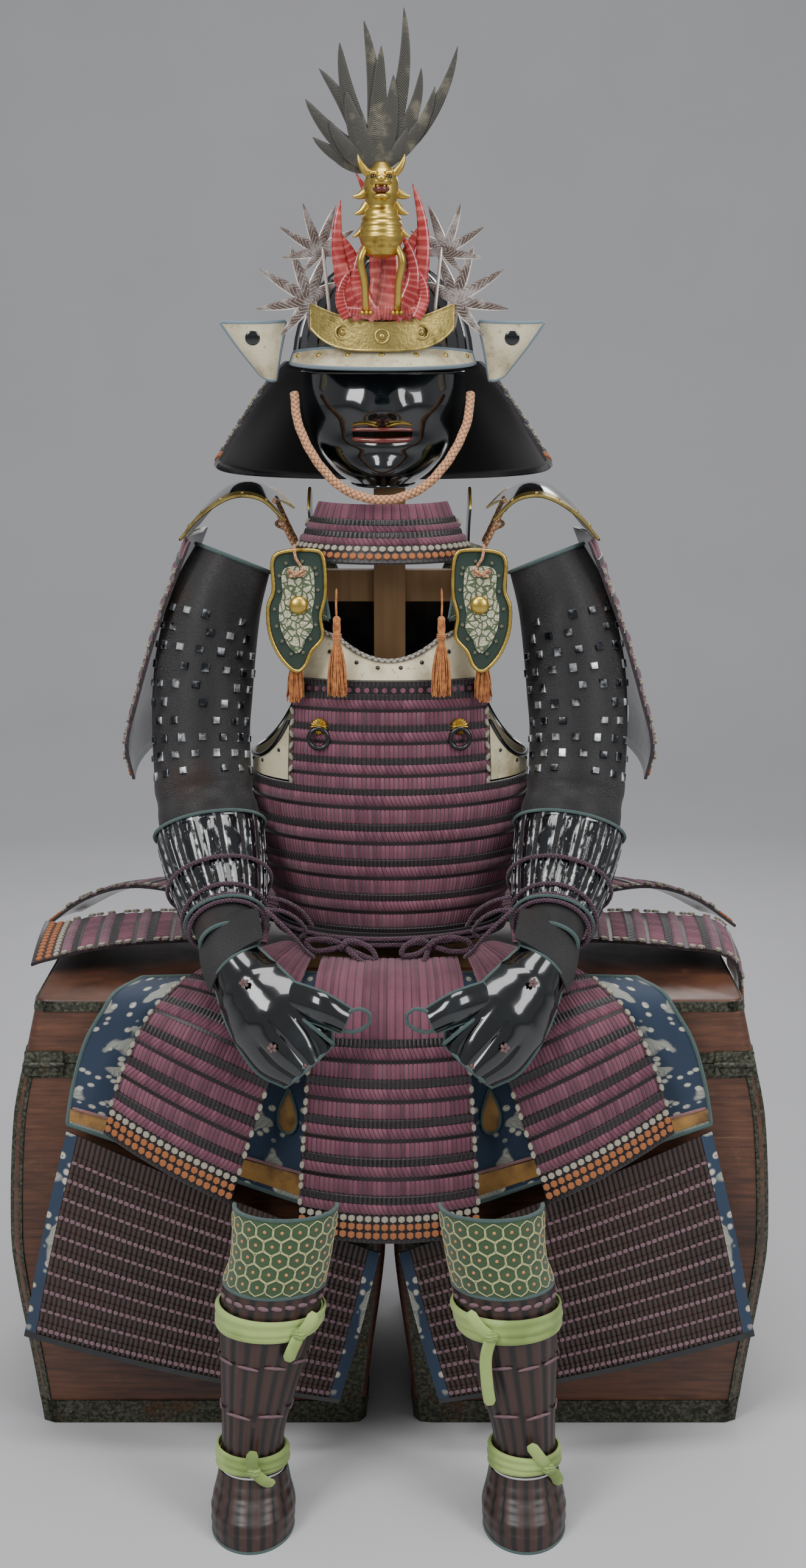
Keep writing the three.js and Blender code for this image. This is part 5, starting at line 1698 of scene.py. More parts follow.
def splint_relief(u, v):
    x = ((u + 1) / 2 * SPLINT_COUNT) % 1
    on = (np.abs(x - 0.5) < 0.36) & (v > 0.05) & (v < 0.95)
    dome = np.sqrt(np.maximum(0, 1 - ((x - 0.5) / 0.40) ** 2))
    ridge = 0.9 * (np.abs(x - 0.5) < 0.09)
    return SPLINT_LIFT - 1.0 + on * (2.2 * dome + ridge) + 0.8 * ((v < 0.04) | (v > 0.96))


splint = Paint("splint_lacquer", Coat_Weight=0.8, Coat_Roughness=0.05)
pu, pv = splint.uv()
on_splint = 1.0 - ((pu * SPLINT_COUNT).fract() - 0.5).abs().ramp(0.36, 0.40)
highlight_patch = splint.noise(1.0, 3, splint.vector(pu * 40.0, pv * 9.0), 0.6)
splint_rings = splint.cells(1.0, splint.vector(pu * 110.0, pv * 46.0), "F1", "Distance", 0.3)
mesh_line = 1.0 - ((splint_rings - 0.42).abs() * 6.0).low(1.0)
# Painted highlights: the near-white splint colour is laid along each splint's edges and in patches where
# highlight_patch is high.
edge_light = ((pu * SPLINT_COUNT).fract() - 0.5).abs().ramp(0.22, 0.34) * highlight_patch.ramp(0.40, 0.62)
splint_colour = splint.mix(
    splint.mix(tint(16, 17, 20), tint(110, 106, 104), mesh_line * 0.8),
    splint.mix(tint(12, 17, 22), tint(206, 208, 208), (edge_light + highlight_patch.ramp(0.60, 0.70) * 0.8).low(1.0)),
    on_splint,
)
splint_paint = splint.finish(
    splint_colour, 0.5 - on_splint * 0.36, highlight_patch * on_splint * 0.5 + mesh_line * (1.0 - on_splint), 0.0009, 0.7 - on_splint * 0.55
)
splint_us = np.sort(
    np.concatenate(
        [
            (
                np.array([0.0, 0.10, 0.14, 0.2, 0.3, 0.4, 0.42, 0.5, 0.58, 0.6, 0.7, 0.8, 0.86, 0.90]) + k
            ) / SPLINT_COUNT * 2 - 1
            for k in range(SPLINT_COUNT)
        ]
        + [[1.0]]
    )
)
splint_vs = np.array([0, 0.04, 0.05, 0.08, 0.2, 0.35, 0.5, 0.65, 0.8, 0.92, 0.95, 0.96, 1.0])


def around(form, v, out, count=44, start=-1.0, end=1.0, tilt=0.0, rise=0.0):
    """A line of points round a tube."""
    u = np.linspace(start, end, count)
    level = np.clip(v + tilt * np.cos(math.pi * u) + rise * (u - start), 0.0, 1.0)
    return surface(form, u, level, out)[0]


bindings = [
    rope(around(sleeve, v, 8.4, 30, -0.62, 0.62), 2.2, 8, 3, paint=1)
    for v in (SPLINT_LOW + 0.003, SPLINT_HIGH - 0.003)
]
wraps = [rope(around(sleeve, v, out, 44, tilt=t)[:-1], 2.5, 8, 2.6, loop=True, strands=3, lay=5, paint=2)
         for v, out, t in (
             (0.075, 5.6, 0.012), (0.095, 6.2, 0.020), (0.118, 9.6, 0.030), (0.245, 12.0, 0.012)
         )]
WRIST_TIE = [
    [(152, -20, 690), (130, -10, 684), (112, 6, 668), (104, 20, 650), (112, 26, 640)],
    [(152, -20, 690), (134, -30, 676), (116, -32, 658), (104, -24, 640), (92, -14, 626)],
    [(150, 0, 700), (128, 14, 690), (108, 30, 672), (96, 40, 650)],
]
wraps += [rope(line, 2.5, 8, 2.6, strands=3, lay=5, paint=2) for line in WRIST_TIE]
pair(
    "splints_lacquered",
    shell(
        splint_form, splint_us, splint_vs, 2.4, splint_relief, 0, scale=(0.5, 1.0), shift=(0.5, 0.0)
    ) + bindings + wraps,
    [splint_paint, piping, plum_braid],
    "splint_steel",
    ["forearm_splints"],
)

# ---------------------------------------------------------------- hand guards
# Domed black lacquer over the back of the hand, ribbed along the fingers, with a thumb
# plate, blue-green piping, mail between, and small knots of pink cord.
HAND = [
    (0, 66, -134, 556, 122, -142, 506), (0.25, 72, -132, 590, 156, -134, 522),
    (0.6, 112, -116, 628, 188, -116, 566), (1, 158, -78, 660, 210, -82, 616),
]
THUMB = [
    (0, 44, -146, 604, 56, -150, 576), (0.5, 76, -146, 624, 82, -148, 586),
    (1, 112, -124, 630, 112, -130, 590)
]
hand_form, thumb_form = panel(HAND, 22), panel(THUMB, 8)


def finger_relief(u, v):
    fingers = np.abs(np.sin(2 * math.pi * (u + 1) / 2 * 2)) ** 0.5
    near_tip = 1 / (1 + np.exp((v - 0.42) * 22))
    knuckle = np.exp(-(((v - 0.52) / 0.05) ** 2))
    return 1.2 + 3.4 * fingers * near_tip - 2.2 * near_tip + 1.6 * knuckle + 1.4 * np.exp(
        -(((v - 0.80) / 0.03) ** 2)
    )


gloss = Paint("glossy_lacquer", Coat_Weight=1.0, Coat_Roughness=0.04)
gloss_cloud = gloss.noise(24, 5)
glossy_lacquer = gloss.finish(
    gloss.mix(
        tint(8, 13, 15), tint(30, 40, 42), gloss_cloud.ramp(0.5, 0.85)
    ), 0.1 + gloss_cloud * 0.12, gloss.noise(9, 2), 0.0015
)
hand_knots = []
for place in [(96, -158, 536), (136, -158, 560), (70, -152, 604), (170, -128, 630)]:
    centre = np.array(place, float)
    for a in range(5):
        way = np.array((math.cos(a * 1.26), 0, math.sin(a * 1.26)))
        hand_knots += knots([centre + way * 3.4], [(0, -1, 0)], [way], 4.2, 6.0, 3.0, 2, 6)
LOOPS = [
    [(50, -150, 600), (34, -152, 606), (22, -148, 598), (24, -144, 584), (40, -146, 576), (56, -152, 580)],
    [(112, -130, 596), (96, -146, 588), (82, -152, 578), (70, -148, 566), (64, -140, 558)],
]
hand_cords = [rope(line, 2.3, 8, 2.4, strands=3, lay=5, paint=1) for line in LOOPS]
pair(
    "hand_lacquered",
    shell(hand_form, 36, 30, 2.4, finger_relief) + shell(
        thumb_form, 20, 16, 2.4, lambda u, v: 1.0 + 2.0 * np.cos(u * math.pi / 2) ** 0.5
    )
    + outline_rope(hand_form, 2.2, 0.2, 40, 1) + outline_rope(
        thumb_form, 1.9, 0.4, 24, 1
    ) + hand_knots + hand_cords,
    [glossy_lacquer, piping, pink_cord],
    "lacquer_black",
    ["hand_guard"],
)
SLEEVE_MAIL = [
    (0, 150, -84, 672, 214, -92, 606), (0.5, 154, -60, 684, 226, -64, 624),
    (1, 160, -30, 694, 234, -28, 646)
]
wrist_mail = panel(SLEEVE_MAIL, 16)
pair("wrist_mail", shell(wrist_mail, 20, 16, 2.0, 0.0), mail_cloth, "mail_dark")

# ---------------------------------------------------------------- shoulder guards
# Laced like the tassets, with ivory knots up the edges and orange ones at the foot. A curved
# lacquered plate with plum silk inside and a brass edge carries each.
SODE = [
    (0, 326, 334, 824), (0.14, 334, 342, 866), (0.35, 320, 330, 925), (0.62, 296, 306, 1005),
    (0.85, 270, 282, 1075), (1, 250, 264, 1125)
]
SODE_Y, SODE_HALF = 240.0, 128.0


def sode(u, v):
    front, middle, z = between(SODE, v)
    return xyz(middle + (front - middle) * u**2, SODE_Y + u * SODE_HALF * (1 - 0.12 * v), z)


SODE_FOOT = [Band(EDGE, 4), Band(BEDS, 11), Band(BEDS, 10), Band(ROLL, 13), Band(HEADS, 9)]
pair(
    "sode_laced",
    hung(sode, 45, 5, SODE_FOOT, ((4 + 5.5, 10.2, 1), (15 + 5, 9.4, 0))),
    LACED,
    "lacing_plum",
    ["shoulder_guard"],
)
SODE_TOP = [(0, 262, 1128), (0.3, 240, 1162), (0.6, 204, 1190), (0.8, 172, 1190), (1, 146, 1168)]


def sode_top(u, v):
    x, z = between(SODE_TOP, v)
    drop = 16 * v * u**2
    return xyz(x - drop, 235 + u * 108, z - drop)


brass_paint = Paint("brass", Metallic=1.0)
brass_cloud = brass_paint.noise(34, 6, None, 0.65)
brass_fine = brass_paint.noise(300, 3)
brass = brass_paint.finish(
    brass_paint.mix(
        tint(178, 158, 96), tint(84, 72, 42), brass_cloud.ramp(0.45, 0.75)
    ), 0.3 + brass_cloud * 0.25, brass_fine, 0.0005
)
front_edge = strip(sode_top, 0.04, 0.96, (-0.995, -0.83))
pair(
    "sode_top_plate",
    shell(sode_top, 20, 24, 2.4, 0.0, 0, 1) + shell(front_edge, 2, 24, 1.0, 1.0, 2)
    + studs(*surface(front_edge, np.zeros(5), np.linspace(0.12, 0.88, 5), 1.2), 2.8, 1.8, 2)
    + outline_rope(sode_top, 1.9, -1.0, 30, 3),
    [glossy_lacquer, plum_lacing, brass, brass],
    "lacquer_black",
    ["shoulder_guard_top"],
)
# A peach lace ties each shoulder guard's plate to the strap.
sode_ties = []
for y in (190, 214, 262):
    sode_ties.append(
        rope(
            [(150, y, 1172), (140, y - 3, 1150), (130, y, 1128), (122, y + 2, 1112)], 2.6, 8, 2.4,
            strands=3, lay=5
        )
    )
sode_ties.append(
    rope(
        [(150, 200, 1160), (136, 192, 1150), (146, 206, 1140), (130, 200, 1132)], 2.2, 8, 2.4, strands=3,
        lay=5
    )
)
pair("sode_laces", sode_ties, peach_braid, "cord_peach")

# ---------------------------------------------------------------- helmet bowl
# An iron bowl of upright plates with a raised edge between each two, in dark lacquer, with
# a gilt ring at the crown.
def bowl(u, v):
    rise = np.asarray(v) * math.pi / 2 * 0.985
    return xyz(
        112 * np.cos(rise) * np.sin(math.pi * u), 192 - 122 * np.cos(rise) * np.cos(math.pi * u), 1345 + 128 * np.sin(rise)
    )


PLATES = 32
bowl_us = np.sort(np.concatenate([np.array([0, 0.06, 0.94]) + k for k in range(PLATES)])) / PLATES * 2 - 1
bowl_us = np.r_[bowl_us, 1.0]
crown_rings = [rope(
    [(22 * math.cos(a), 192 + 22 * math.sin(a), 1474.5) for a in np.linspace(0, 2 * math.pi, 25)[:-1]], 2.2,
    8, 4, loop=True, paint=1
),
               rope(
                   [
                       (13 * math.cos(a), 192 + 13 * math.sin(a), 1477.5)
                       for a in np.linspace(0, 2 * math.pi, 25)[:-1]
                   ],
                   3.0, 8, 4, loop=True, paint=1
               )]
build(
    "helmet_bowl_lacquered",
    shell(
        bowl, bowl_us, 14, 2.4, lambda u,
        v: 1.6 * (np.abs(((u + 1) / 2 * PLATES + 0.5) % 1 - 0.5) < 0.03) * (v < 0.96), 0, ring=True
    )
    + crown_rings,
    [glossy_lacquer, gilt], "lacquer_black", ["helmet_bowl"], head=True,
)


def visor(u, v):
    angle = np.radians(66 * u)
    reach = 4 + (1 - v) * 26 * np.cos(1.1 * angle)
    lower = 1337 + 6 * u**2
    return xyz(
        (118 + 0.6 * reach) * np.sin(angle), 192 - (122 + reach) * np.cos(angle),
        lower + (1362 - 6 * u**2 - lower) * v
    )


blue_rim = silk_paint("blue_grey_rim", (112, 128, 138), (52, 62, 72), 3.0)
visor_studs = studs(*surface(visor, np.linspace(-0.86, 0.86, 7), np.full(7, 0.62), 0.6), 3.4, 2.2, 2)
build(
    "visor_leather", shell(
        visor, 60, 10, 3.0, 0.3, 0, 1
    ) + outline_rope(visor, 2.5, -1.2, 60, 1) + visor_studs,
    [ivory_leather, blue_rim, gilt], "leather_ivory", ["helmet_visor"], head=True,
)
turn_back = panel(
    [
        (0, 130, 122, 1322, 150, 118, 1328), (0.5, 124, 112, 1356, 176, 104, 1362),
        (1, 116, 106, 1392, 196, 98, 1391)
    ],
    8
)
pair(
    "turn_back_leather",
    shell(turn_back, 24, 30, 3.0, 0.3, 0, 1) + outline_rope(turn_back, 2.3, -1.2, 40, 1)
    + studs(*surface(turn_back, np.array([0.15]), np.array([0.72]), 0.4), 9.0, 1.6, 2, 18),
    [ivory_leather, blue_rim, glossy_lacquer], "leather_ivory", ["turn_back"], head=True,
)

# ---------------------------------------------------------------- neck guard
# Wide flaring lames behind the head, blue-black inside with the upright laces showing, with
# ivory knots up the edges and an orange row at the foot.
def neck_guard(u, v):
    angle, down = np.radians(108 * u), 1 - np.asarray(v)
    flare = down**0.85
    rim = 1188 + (1224 - 1188) * np.minimum(1, np.abs(u)) ** 2
    return xyz(
        -(
            122 + (214 - 122) * flare
        ) * np.sin(angle), 192 + (128 + (172 - 128) * flare) * np.cos(angle), 1345 + (rim - 1345) * down
    )


blue_lacing = lace_paint("blue_black_lacing", (44, 50, 66), (16, 18, 26), (10, 10, 14))
build(
    "neck_guard_laced",
    hung(
        neck_guard, 120, 2, [Band(EDGE, 5), Band(BEDS, 10), Band(ROLL, 13), Band(HEADS, 9)], ((10, 9.5, 1),)
    ),
    [blue_lacing, blue_lacing, ivory_silk, orange_silk], "lacing_dark", ["neck_guard"], head=True,
)

# ---------------------------------------------------------------- face mask
# Half mask in glossy black lacquer with a nose and cheeks, an open mouth with red-brown
# lips and two gilt pieces over the upper lip.
MASK = [
    (1194, 38, 84, 60), (1210, 60, 98, 66), (1236, 82, 100, 76), (1268, 97, 102, 84), (1304, 103, 106, 86),
    (1332, 102, 100, 86)
]
MASK_BUMPS = [
    (0, 1300, 9, 20, 16), (0, 1285, 14, 9, 16), (0, 1219, 18, 13, 12), (52, 1292, 20, 15, 8),
    (0, 1245, 34, 6, 6)
]


def mask(u, v):
    z = 1194 + 138 * np.asarray(v)
    half_width, front, _ = between(MASK, z)
    angle = np.asarray(u) * math.pi / 2
    x = half_width * np.sin(angle)
    out = sum(
        o * np.exp(-(((np.abs(x) - bx) / w) ** 2 + ((z - bz) / t) ** 2) / 2) for bx, bz, w, t,
        o in MASK_BUMPS
    )
    return xyz(x, 180 - (front + out) * np.cos(angle), z)


SLOT_LOW, SLOT_HIGH, SLOT_SIDE = 60 / 138, 68 / 138, 0.253
mask_parts = shell(strip(mask, 0, SLOT_LOW), 44, 26, 3.0) + shell(strip(mask, SLOT_HIGH, 1), 44, 32, 3.0)
for side in ((-1, -SLOT_SIDE), (SLOT_SIDE, 1)):
    mask_parts += shell(strip(mask, SLOT_LOW, SLOT_HIGH, side), 20, 4, 3.0)
lips = [rope(
    surface(
        mask, np.linspace(-SLOT_SIDE, SLOT_SIDE, 17),
        np.full(17, v) + sag * np.cos(np.linspace(-1.5, 1.5, 17)), 1.2
    )[0],
    r, 10, 3, paint=1
)
        for v, sag, r in ((SLOT_LOW - 0.012, -0.014, 3.2), (SLOT_HIGH + 0.012, 0.010, 2.6))]
for sign in (-1, 1):
    lips.append(
        rope(
            surface(
                mask, sign * np.linspace(0.03, 0.24, 9),
                SLOT_HIGH + 0.05 + 0.02 * np.sin(np.linspace(0, 3, 9)), 1.0
            )[0],
            2.6, 8, 2, flat=0.6, paint=2
        )
    )
lip_paint = Paint("lip_lacquer", Coat_Weight=0.6)
red_lips = lip_paint.finish(
    lip_paint.mix(tint(120, 52, 44), tint(70, 26, 24), lip_paint.noise(80, 3)), 0.3, lip_paint.noise(40, 3),
    0.0004
)
mask_rim = [
    rope(surface(mask, np.linspace(-1, 1, 40), np.full(40, v), 0.4)[0], 2.0, 8, 4, paint=0)
    for v in (0.004, 0.996)
]
build(
    "face_mask_lacquered", mask_parts + lips + mask_rim, [glossy_lacquer, red_lips, gilt], "lacquer_black",
    ["face_mask"], head=True, sharp=55
)

# The throat guard: plum lames with a row of ivory and one of orange cross-knots at the foot.
THROAT = [(0, 128, 134, 1104), (0.35, 114, 124, 1124), (0.7, 98, 112, 1152), (1, 88, 106, 1174)]


def throat(u, v):
    half_width, half_depth, z = between(THROAT, v)
    angle = np.radians(66 * u)
    return xyz(half_width * np.sin(angle), 185 - half_depth * np.cos(angle), z + 0 * angle)


THROAT_BANDS = [
    Band(EDGE, 4), Band(BEDS, 10), Band(BEDS, 9), Band(ROLL, 10), Band(HEADS, 7), Band(ROLL, 9),
    Band(HEADS, 7)
]
build(
    "throat_guard_laced", hung(throat, 40, 0, THROAT_BANDS, ((9, 9.4, 1), (18.5, 8.6, 0))), LACED,
    "lacing_plum", ["throat_guard"], head=True
)

# ---------------------------------------------------------------- crest
# A brass holder with ringed rivets carries a gilt beast before red lacquer flames, a dark
# plume of overlapping blades and two sprays of maple leaves.
def holder(u, v):
    low, high = 1358 + 26 * u**4, 1412 - 22 * (1 - u**2)
    return xyz(86 * u, 50 + 30 * u**2, low + (high - low) * v)


rivets = []
for u in (-0.55, 0.0, 0.55):
    spot, face = surface(holder, np.array([u]), np.array([0.5]), 0.4)
    rivets += studs(spot, face, 4.2, 3.0, 0, 12)
    ring_at = [
        spot[0] + np.array((8 * math.cos(a), 0, 8 * math.sin(a)))
        for a in np.linspace(0, 2 * math.pi, 25)[:-1]
    ]
    rivets.append(rope(ring_at, 1.5, 8, 3, loop=True))
rivets.append(rope([(0, 52, 1376), (0, 71, 1376)], 6, 8, 6))
build(
    "crest_holder_brass", shell(holder, 40, 6, 3.0) + outline_rope(holder, 1.8, -1.2, 50, 0) + rivets,
    brass, "brass", ["crest_holder"], head=True
)


def closed(points, faces, uv, paint=0):
    """A closed piece with its faces turned outward."""
    flat = np.asarray(points, float).reshape(-1, 3)
    middle = flat.mean(0)
    volume = sum(
        float(np.dot(flat[f[0]] - middle, np.cross(flat[f[k]] - middle, flat[f[k + 1]] - middle)))
        for f in faces for k in range(1, len(f) - 1)
    )
    return Part(
        flat, faces if volume > 0 else [tuple(f[::-1]) for f in faces],
        np.asarray(uv, float).reshape(-1, 2), paint
    )


def tube(rings, paint=0):
    """A closed tube through rings of points."""
    rings = np.asarray(rings, float)
    rows, count = rings.shape[:2]
    faces = [
        (r * count + c, r * count + (c + 1) % count, (r + 1) * count + (c + 1) % count, (r + 1) * count + c)
        for r in range(rows - 1) for c in range(count)
    ]
    faces += [tuple(range(count))[::-1], tuple((rows - 1) * count + c for c in range(count))]
    along, round_it = np.meshgrid(np.linspace(0, 1, rows), np.abs(np.linspace(-1, 1, count)), indexing="ij")
    return closed(rings, faces, np.stack([round_it, along], -1), paint)


def blade(base, tip, y, width, thick, bend=0.0, foot=0.5, lean=0.0, paint=0, steps=14, sides=12):
    """A pointed leaf of lens section from base (x, z) to tip (x, z), bowed sideways."""
    base, tip = np.array(base, float), np.array(tip, float)
    t = np.linspace(0, 1, steps)[:, None]
    along = tip - base
    across = np.array((along[1], -along[0]))
    centre = base + along * t + across * bend * 4 * t * (1 - t)
    slope = along + across * bend * 4 * (1 - 2 * t)
    slope /= np.linalg.norm(slope, axis=1, keepdims=True)
    half = width / 2 * np.maximum(
        0.03, (1 - t) ** 0.6 * (foot + (1 - foot) * np.sin(np.minimum(1, t / 0.4) * math.pi / 2))
    )
    turn = np.linspace(0, 2 * math.pi, sides + 1)[:-1][None, :]
    wide, deep = half * np.cos(turn), thick / 2 * np.sqrt(half / width * 2) * np.sin(turn)
    x = centre[:, :1] + slope[:, 1:] * wide
    z = centre[:, 1:] - slope[:, :1] * wide
    return tube(np.stack([x, y + lean * t + deep, z], -1), paint)


def ball(centre, radii, paint=0, rows=8, sides=12):
    """A rounded lump."""
    rise = np.linspace(-1.5, 1.5, rows)[:, None]
    turn = np.linspace(0, 2 * math.pi, sides + 1)[:-1][None, :]
    cx, cy, cz = centre
    rx, ry, rz = radii
    return tube(
        np.stack(
            [
                cx + rx * np.cos(rise) * np.cos(turn), cy + ry * np.cos(rise) * np.sin(turn),
                cz + rz * np.sin(rise) + 0 * turn
            ],
            -1
        ), paint
    )


flame_paint = Paint("red_flames", Coat_Weight=0.6, Coat_Roughness=0.1)
fu, fv = flame_paint.uv()
flame_cloud = flame_paint.noise(30, 4)
red_flames = flame_paint.finish(
    flame_paint.mix(
        tint(150, 44, 46), tint(222, 122, 116),
        (flame_cloud.ramp(0.45, 0.7) * 0.6 + (fv * 14.0).ridge().ramp(0.7, 1.0) * 0.4).low(1.0)
    ),
    0.22, flame_cloud, 0.0008,
)
FLAMES = [  # base x, tip x, tip z, width, bow, y
    (
        -34, -58, 1442, 24, 0.10, 50
    ), (34, 56, 1444, 24, -0.10, 50), (-30, -60, 1500, 26, 0.14, 49), (30, 54, 1508, 26, -0.14, 49),
    (
        -24, -48, 1530, 26, -0.10, 47
    ), (24, 36, 1548, 26, 0.12, 47), (-14, -30, 1560, 26, 0.12, 50), (10, 14, 1566, 28, -0.10, 50),
    (0, -8, 1540, 28, 0.10, 46), (-6, -14, 1488, 24, -0.2, 44), (14, 22, 1492, 24, 0.2, 44), (
        -40, -34, 1452, 18, -0.2, 45
    ), (40, 34, 1458, 18, 0.2, 45),
]
flame_parts = [blade((bx, 1395), (tx, tz), y, w, 6, bend, 0.7) for bx, tx, tz, w, bend, y in FLAMES]
flame_parts += [blade((s * 2, 1402), (s * 52, 1408), 46, 20, 10, s * 0.06, 0.9) for s in (-1, 1)]
build("crest_flames_lacquered", flame_parts, red_flames, "lacquer_red", ["crest_flames"], head=True)

plume_paint = Paint("dark_plume", Sheen_Weight=0.3)
lu, lv = plume_paint.uv()
plume_cloud = plume_paint.noise(46, 5)
spine_line = (lu * 2.0 - 1.0).abs()
dark_plume = plume_paint.finish(
    plume_paint.mix(
        tint(26, 28, 26), tint(118, 112, 94),
        (plume_cloud.ramp(0.5, 0.75) * 0.7 + (lv * 60.0 + spine_line * 3.0).ridge() * 0.25).low(1.0)
    ),
    0.75, (lv * 60.0 + spine_line * 3.0).ridge(), 0.0008,
)
PLUME = [  # tip x, tip z, width, bow, y
    (
        -58, 1578, 20, -0.10, 51
    ), (
        -80, 1600, 26, -0.08, 50
    ), (-88, 1642, 30, -0.06, 48), (-72, 1676, 28, 0.05, 51), (-48, 1704, 30, -0.05, 49),
    (
        -20, 1728, 28, 0.04, 50
    ), (26, 1742, 26, 0.07, 48), (0, 1700, 30, 0.0, 46), (88, 1700, 24, 0.10, 50), (62, 1656, 24, 0.12, 47),
    (40, 1634, 24, 0.14, 51), (46, 1676, 26, 0.10, 49), (
        -40, 1650, 34, -0.05, 45
    ), (14, 1668, 30, 0.05, 45), (-60, 1618, 28, -0.1, 45), (30, 1610, 26, 0.12, 46),
]
plume_parts = [blade((-6 + 0.06 * tx, 1568), (tx, tz), y, w, 5, bend, 0.45) for tx, tz, w, bend, y in PLUME]
build("crest_plume_blades", plume_parts, dark_plume, "plume_dark", ["crest_plume"], head=True)

leaf_paint = Paint("maple_metal", Metallic=0.45)
mu2, mv2 = leaf_paint.uv()
leaf_cloud = leaf_paint.noise(60, 4)
leaf_line = (mu2 * 2.0 - 1.0).abs()
vein = (leaf_line.ramp(0.86, 0.98) + (mv2 * 11.0 + leaf_line * 2.0).ridge().ramp(0.9, 1.0) * 0.5).low(1.0)
maple_metal = leaf_paint.finish(
    leaf_paint.mix(
        leaf_paint.mix(tint(96, 80, 74), tint(168, 160, 156), leaf_cloud.ramp(0.4, 0.7)),
        tint(214, 206, 196), vein
    ), 0.35, vein, 0.0005
)
LOBES = (0.55, 0.8, 0.95, 1, 0.95, 0.8, 0.55)
leaf_parts = []
for (cx, cz), reach, tilt, y in (((74, 1474), 58, 20, 84.4), ((86, 1418), 70, 60, 85.2)):
    for k, share in enumerate(LOBES):
        way = math.radians(90 - (tilt + (k - 3) * 40))
        tip = (cx + reach * share * math.cos(way), cz + reach * share * math.sin(way))
        leaf_parts.append(
            blade((cx - 3 * math.cos(way), cz - 3 * math.sin(way)), tip, y, reach * 0.27, 1.8, 0.02, 0.6)
        )
leaf_parts.append(rope([(63, 84.8, 1400), (67, 84.8, 1440), (71, 84.8, 1478)], 2.0, 8, 6))
pair("maple_leaves_veined", leaf_parts, maple_metal, "leaf_metal", ["maple_leaves"], head=True)

BEAST = [
    (1462, 6), (1466, 17), (1484, 25), (1506, 22), (1520, 16), (1534, 20), (1548, 20), (1560, 15), (1570, 6)
]
rows = np.linspace(1462, 1570, 60)
radius = np.interp(rows, [z for z, _ in BEAST], [r for _, r in BEAST])
radius += np.where(rows < 1518, 1.4 * np.abs(np.sin((rows - 1462) / 7.0 * math.pi)), 0)
turn = np.linspace(0, 2 * math.pi, 25)[:-1]
beast = [tube([[(r * math.cos(a), 20 + r * math.sin(a), z) for a in turn] for z, r in zip(rows, radius)])]
for s in (-1, 1):
    beast.append(
        rope(
            [
                (s * 15, 16, 1480), (s * 24, 12, 1460), (s * 20, 20, 1436), (s * 19, 30, 1412),
                (s * 18, 38, 1402)
            ],
            4.6, 8, 4
        )
    )
    beast += [ball((s * 18 + d, 33, 1401), (3, 5, 3)) for d in (-5, 0, 5)]
    beast += [ball((s * 9, 2, 1552), (3.6, 3.4, 3.6), 1), ball((s * 9, -1, 1556), (6, 3.5, 2.6))]
    beast += [
        blade((s * 14, 1556), (s * 27, 1578), 18, 12, 7, s * 0.1, 0.7),
        blade((s * 17, 1538), (s * 34, 1532), 22, 13, 6, s * 0.15, 0.7)
    ]
    beast += [
        blade((s * 16, 1524), (s * 32, 1512), 22, 13, 6, s * 0.15, 0.7),
        blade((s * 18, 1500), (s * 34, 1486), 20, 11, 6, s * 0.1, 0.7)
    ]
beast += [
    ball((0, -2, 1546), (13, 12, 6)), ball((0, 0, 1530), (11, 10, 4.5)), ball((0, -2, 1538), (10, 9, 5), 2),
    ball((0, -13, 1549), (6, 4, 4))
]
beast += [ball((x, -9 + abs(x) * 0.3, 1541), (1.4, 1.4, 2.6)) for x in (-8, -4, 4, 8)]
build(
    "crest_beast_gilt", beast, [gilt, glossy_lacquer, red_lips], "gilt", ["crest_beast"], head=True,
    sharp=50
)

# ---------------------------------------------------------------- legs
# Padded knee guards of green brocade with pale-gold hexagons, brown lacquered shins and
# feet, and light-green cloth ties.
LEG = [
    (64, 160, -236, 40, 34), (106, 160, -232, 36, 34), (170, 152, -222, 45, 42), (235, 142, -212, 56, 50),
    (285, 135, -206, 59, 52), (325, 126, -202, 56, 50), (382, 120, -198, 60, 46)
]
FOOT = [(0, 160, -246, 47, 64), (26, 160, -244, 49, 58), (52, 160, -238, 43, 42), (70, 160, -236, 40, 34)]


def wrapped(table, low, high, span):
    def form(u, v):
        z = low + (high - low) * np.asarray(v, float)
        x, y, half_width, half_depth = between(table, z)
        angle = np.radians(span * np.asarray(u, float))
        return xyz(x + half_width * np.sin(angle), y - half_depth * np.cos(angle), z + 0 * angle)

    return form


knee, shin, foot = wrapped(LEG, 291.5, 382, 96), wrapped(LEG, 72, 290, 112), wrapped(FOOT, 0.5, 70, 104)
knee_puff = lambda u, v: 1.0 + 3.0 * (1 - np.abs(u) ** 6) * (
    1 - np.abs(2 * v - 1) ** 4
) + 0.5 * np.sin(9 * u + 5 * v)
knee_green = Paint("knee_brocade", Sheen_Weight=0.3)
weave = (knee_green.uv()[0] * 900.0).ridge() * (knee_green.uv()[1] * 900.0).ridge()
green_ground = knee_green.finish(
    knee_green.mix(
        tint(46, 72, 44), tint(74, 98, 62), knee_green.noise(20, 4) * 0.7 + weave * 0.3
    ), 0.9, weave, 0.0004
)
gold_thread = silk_paint("gold_thread", (190, 188, 136), (110, 104, 66), 2.5)
salmon_silk = silk_paint("salmon_silk", (215, 150, 100), (140, 84, 54), 2.5)
HEX = 10.7
knee_bits = []
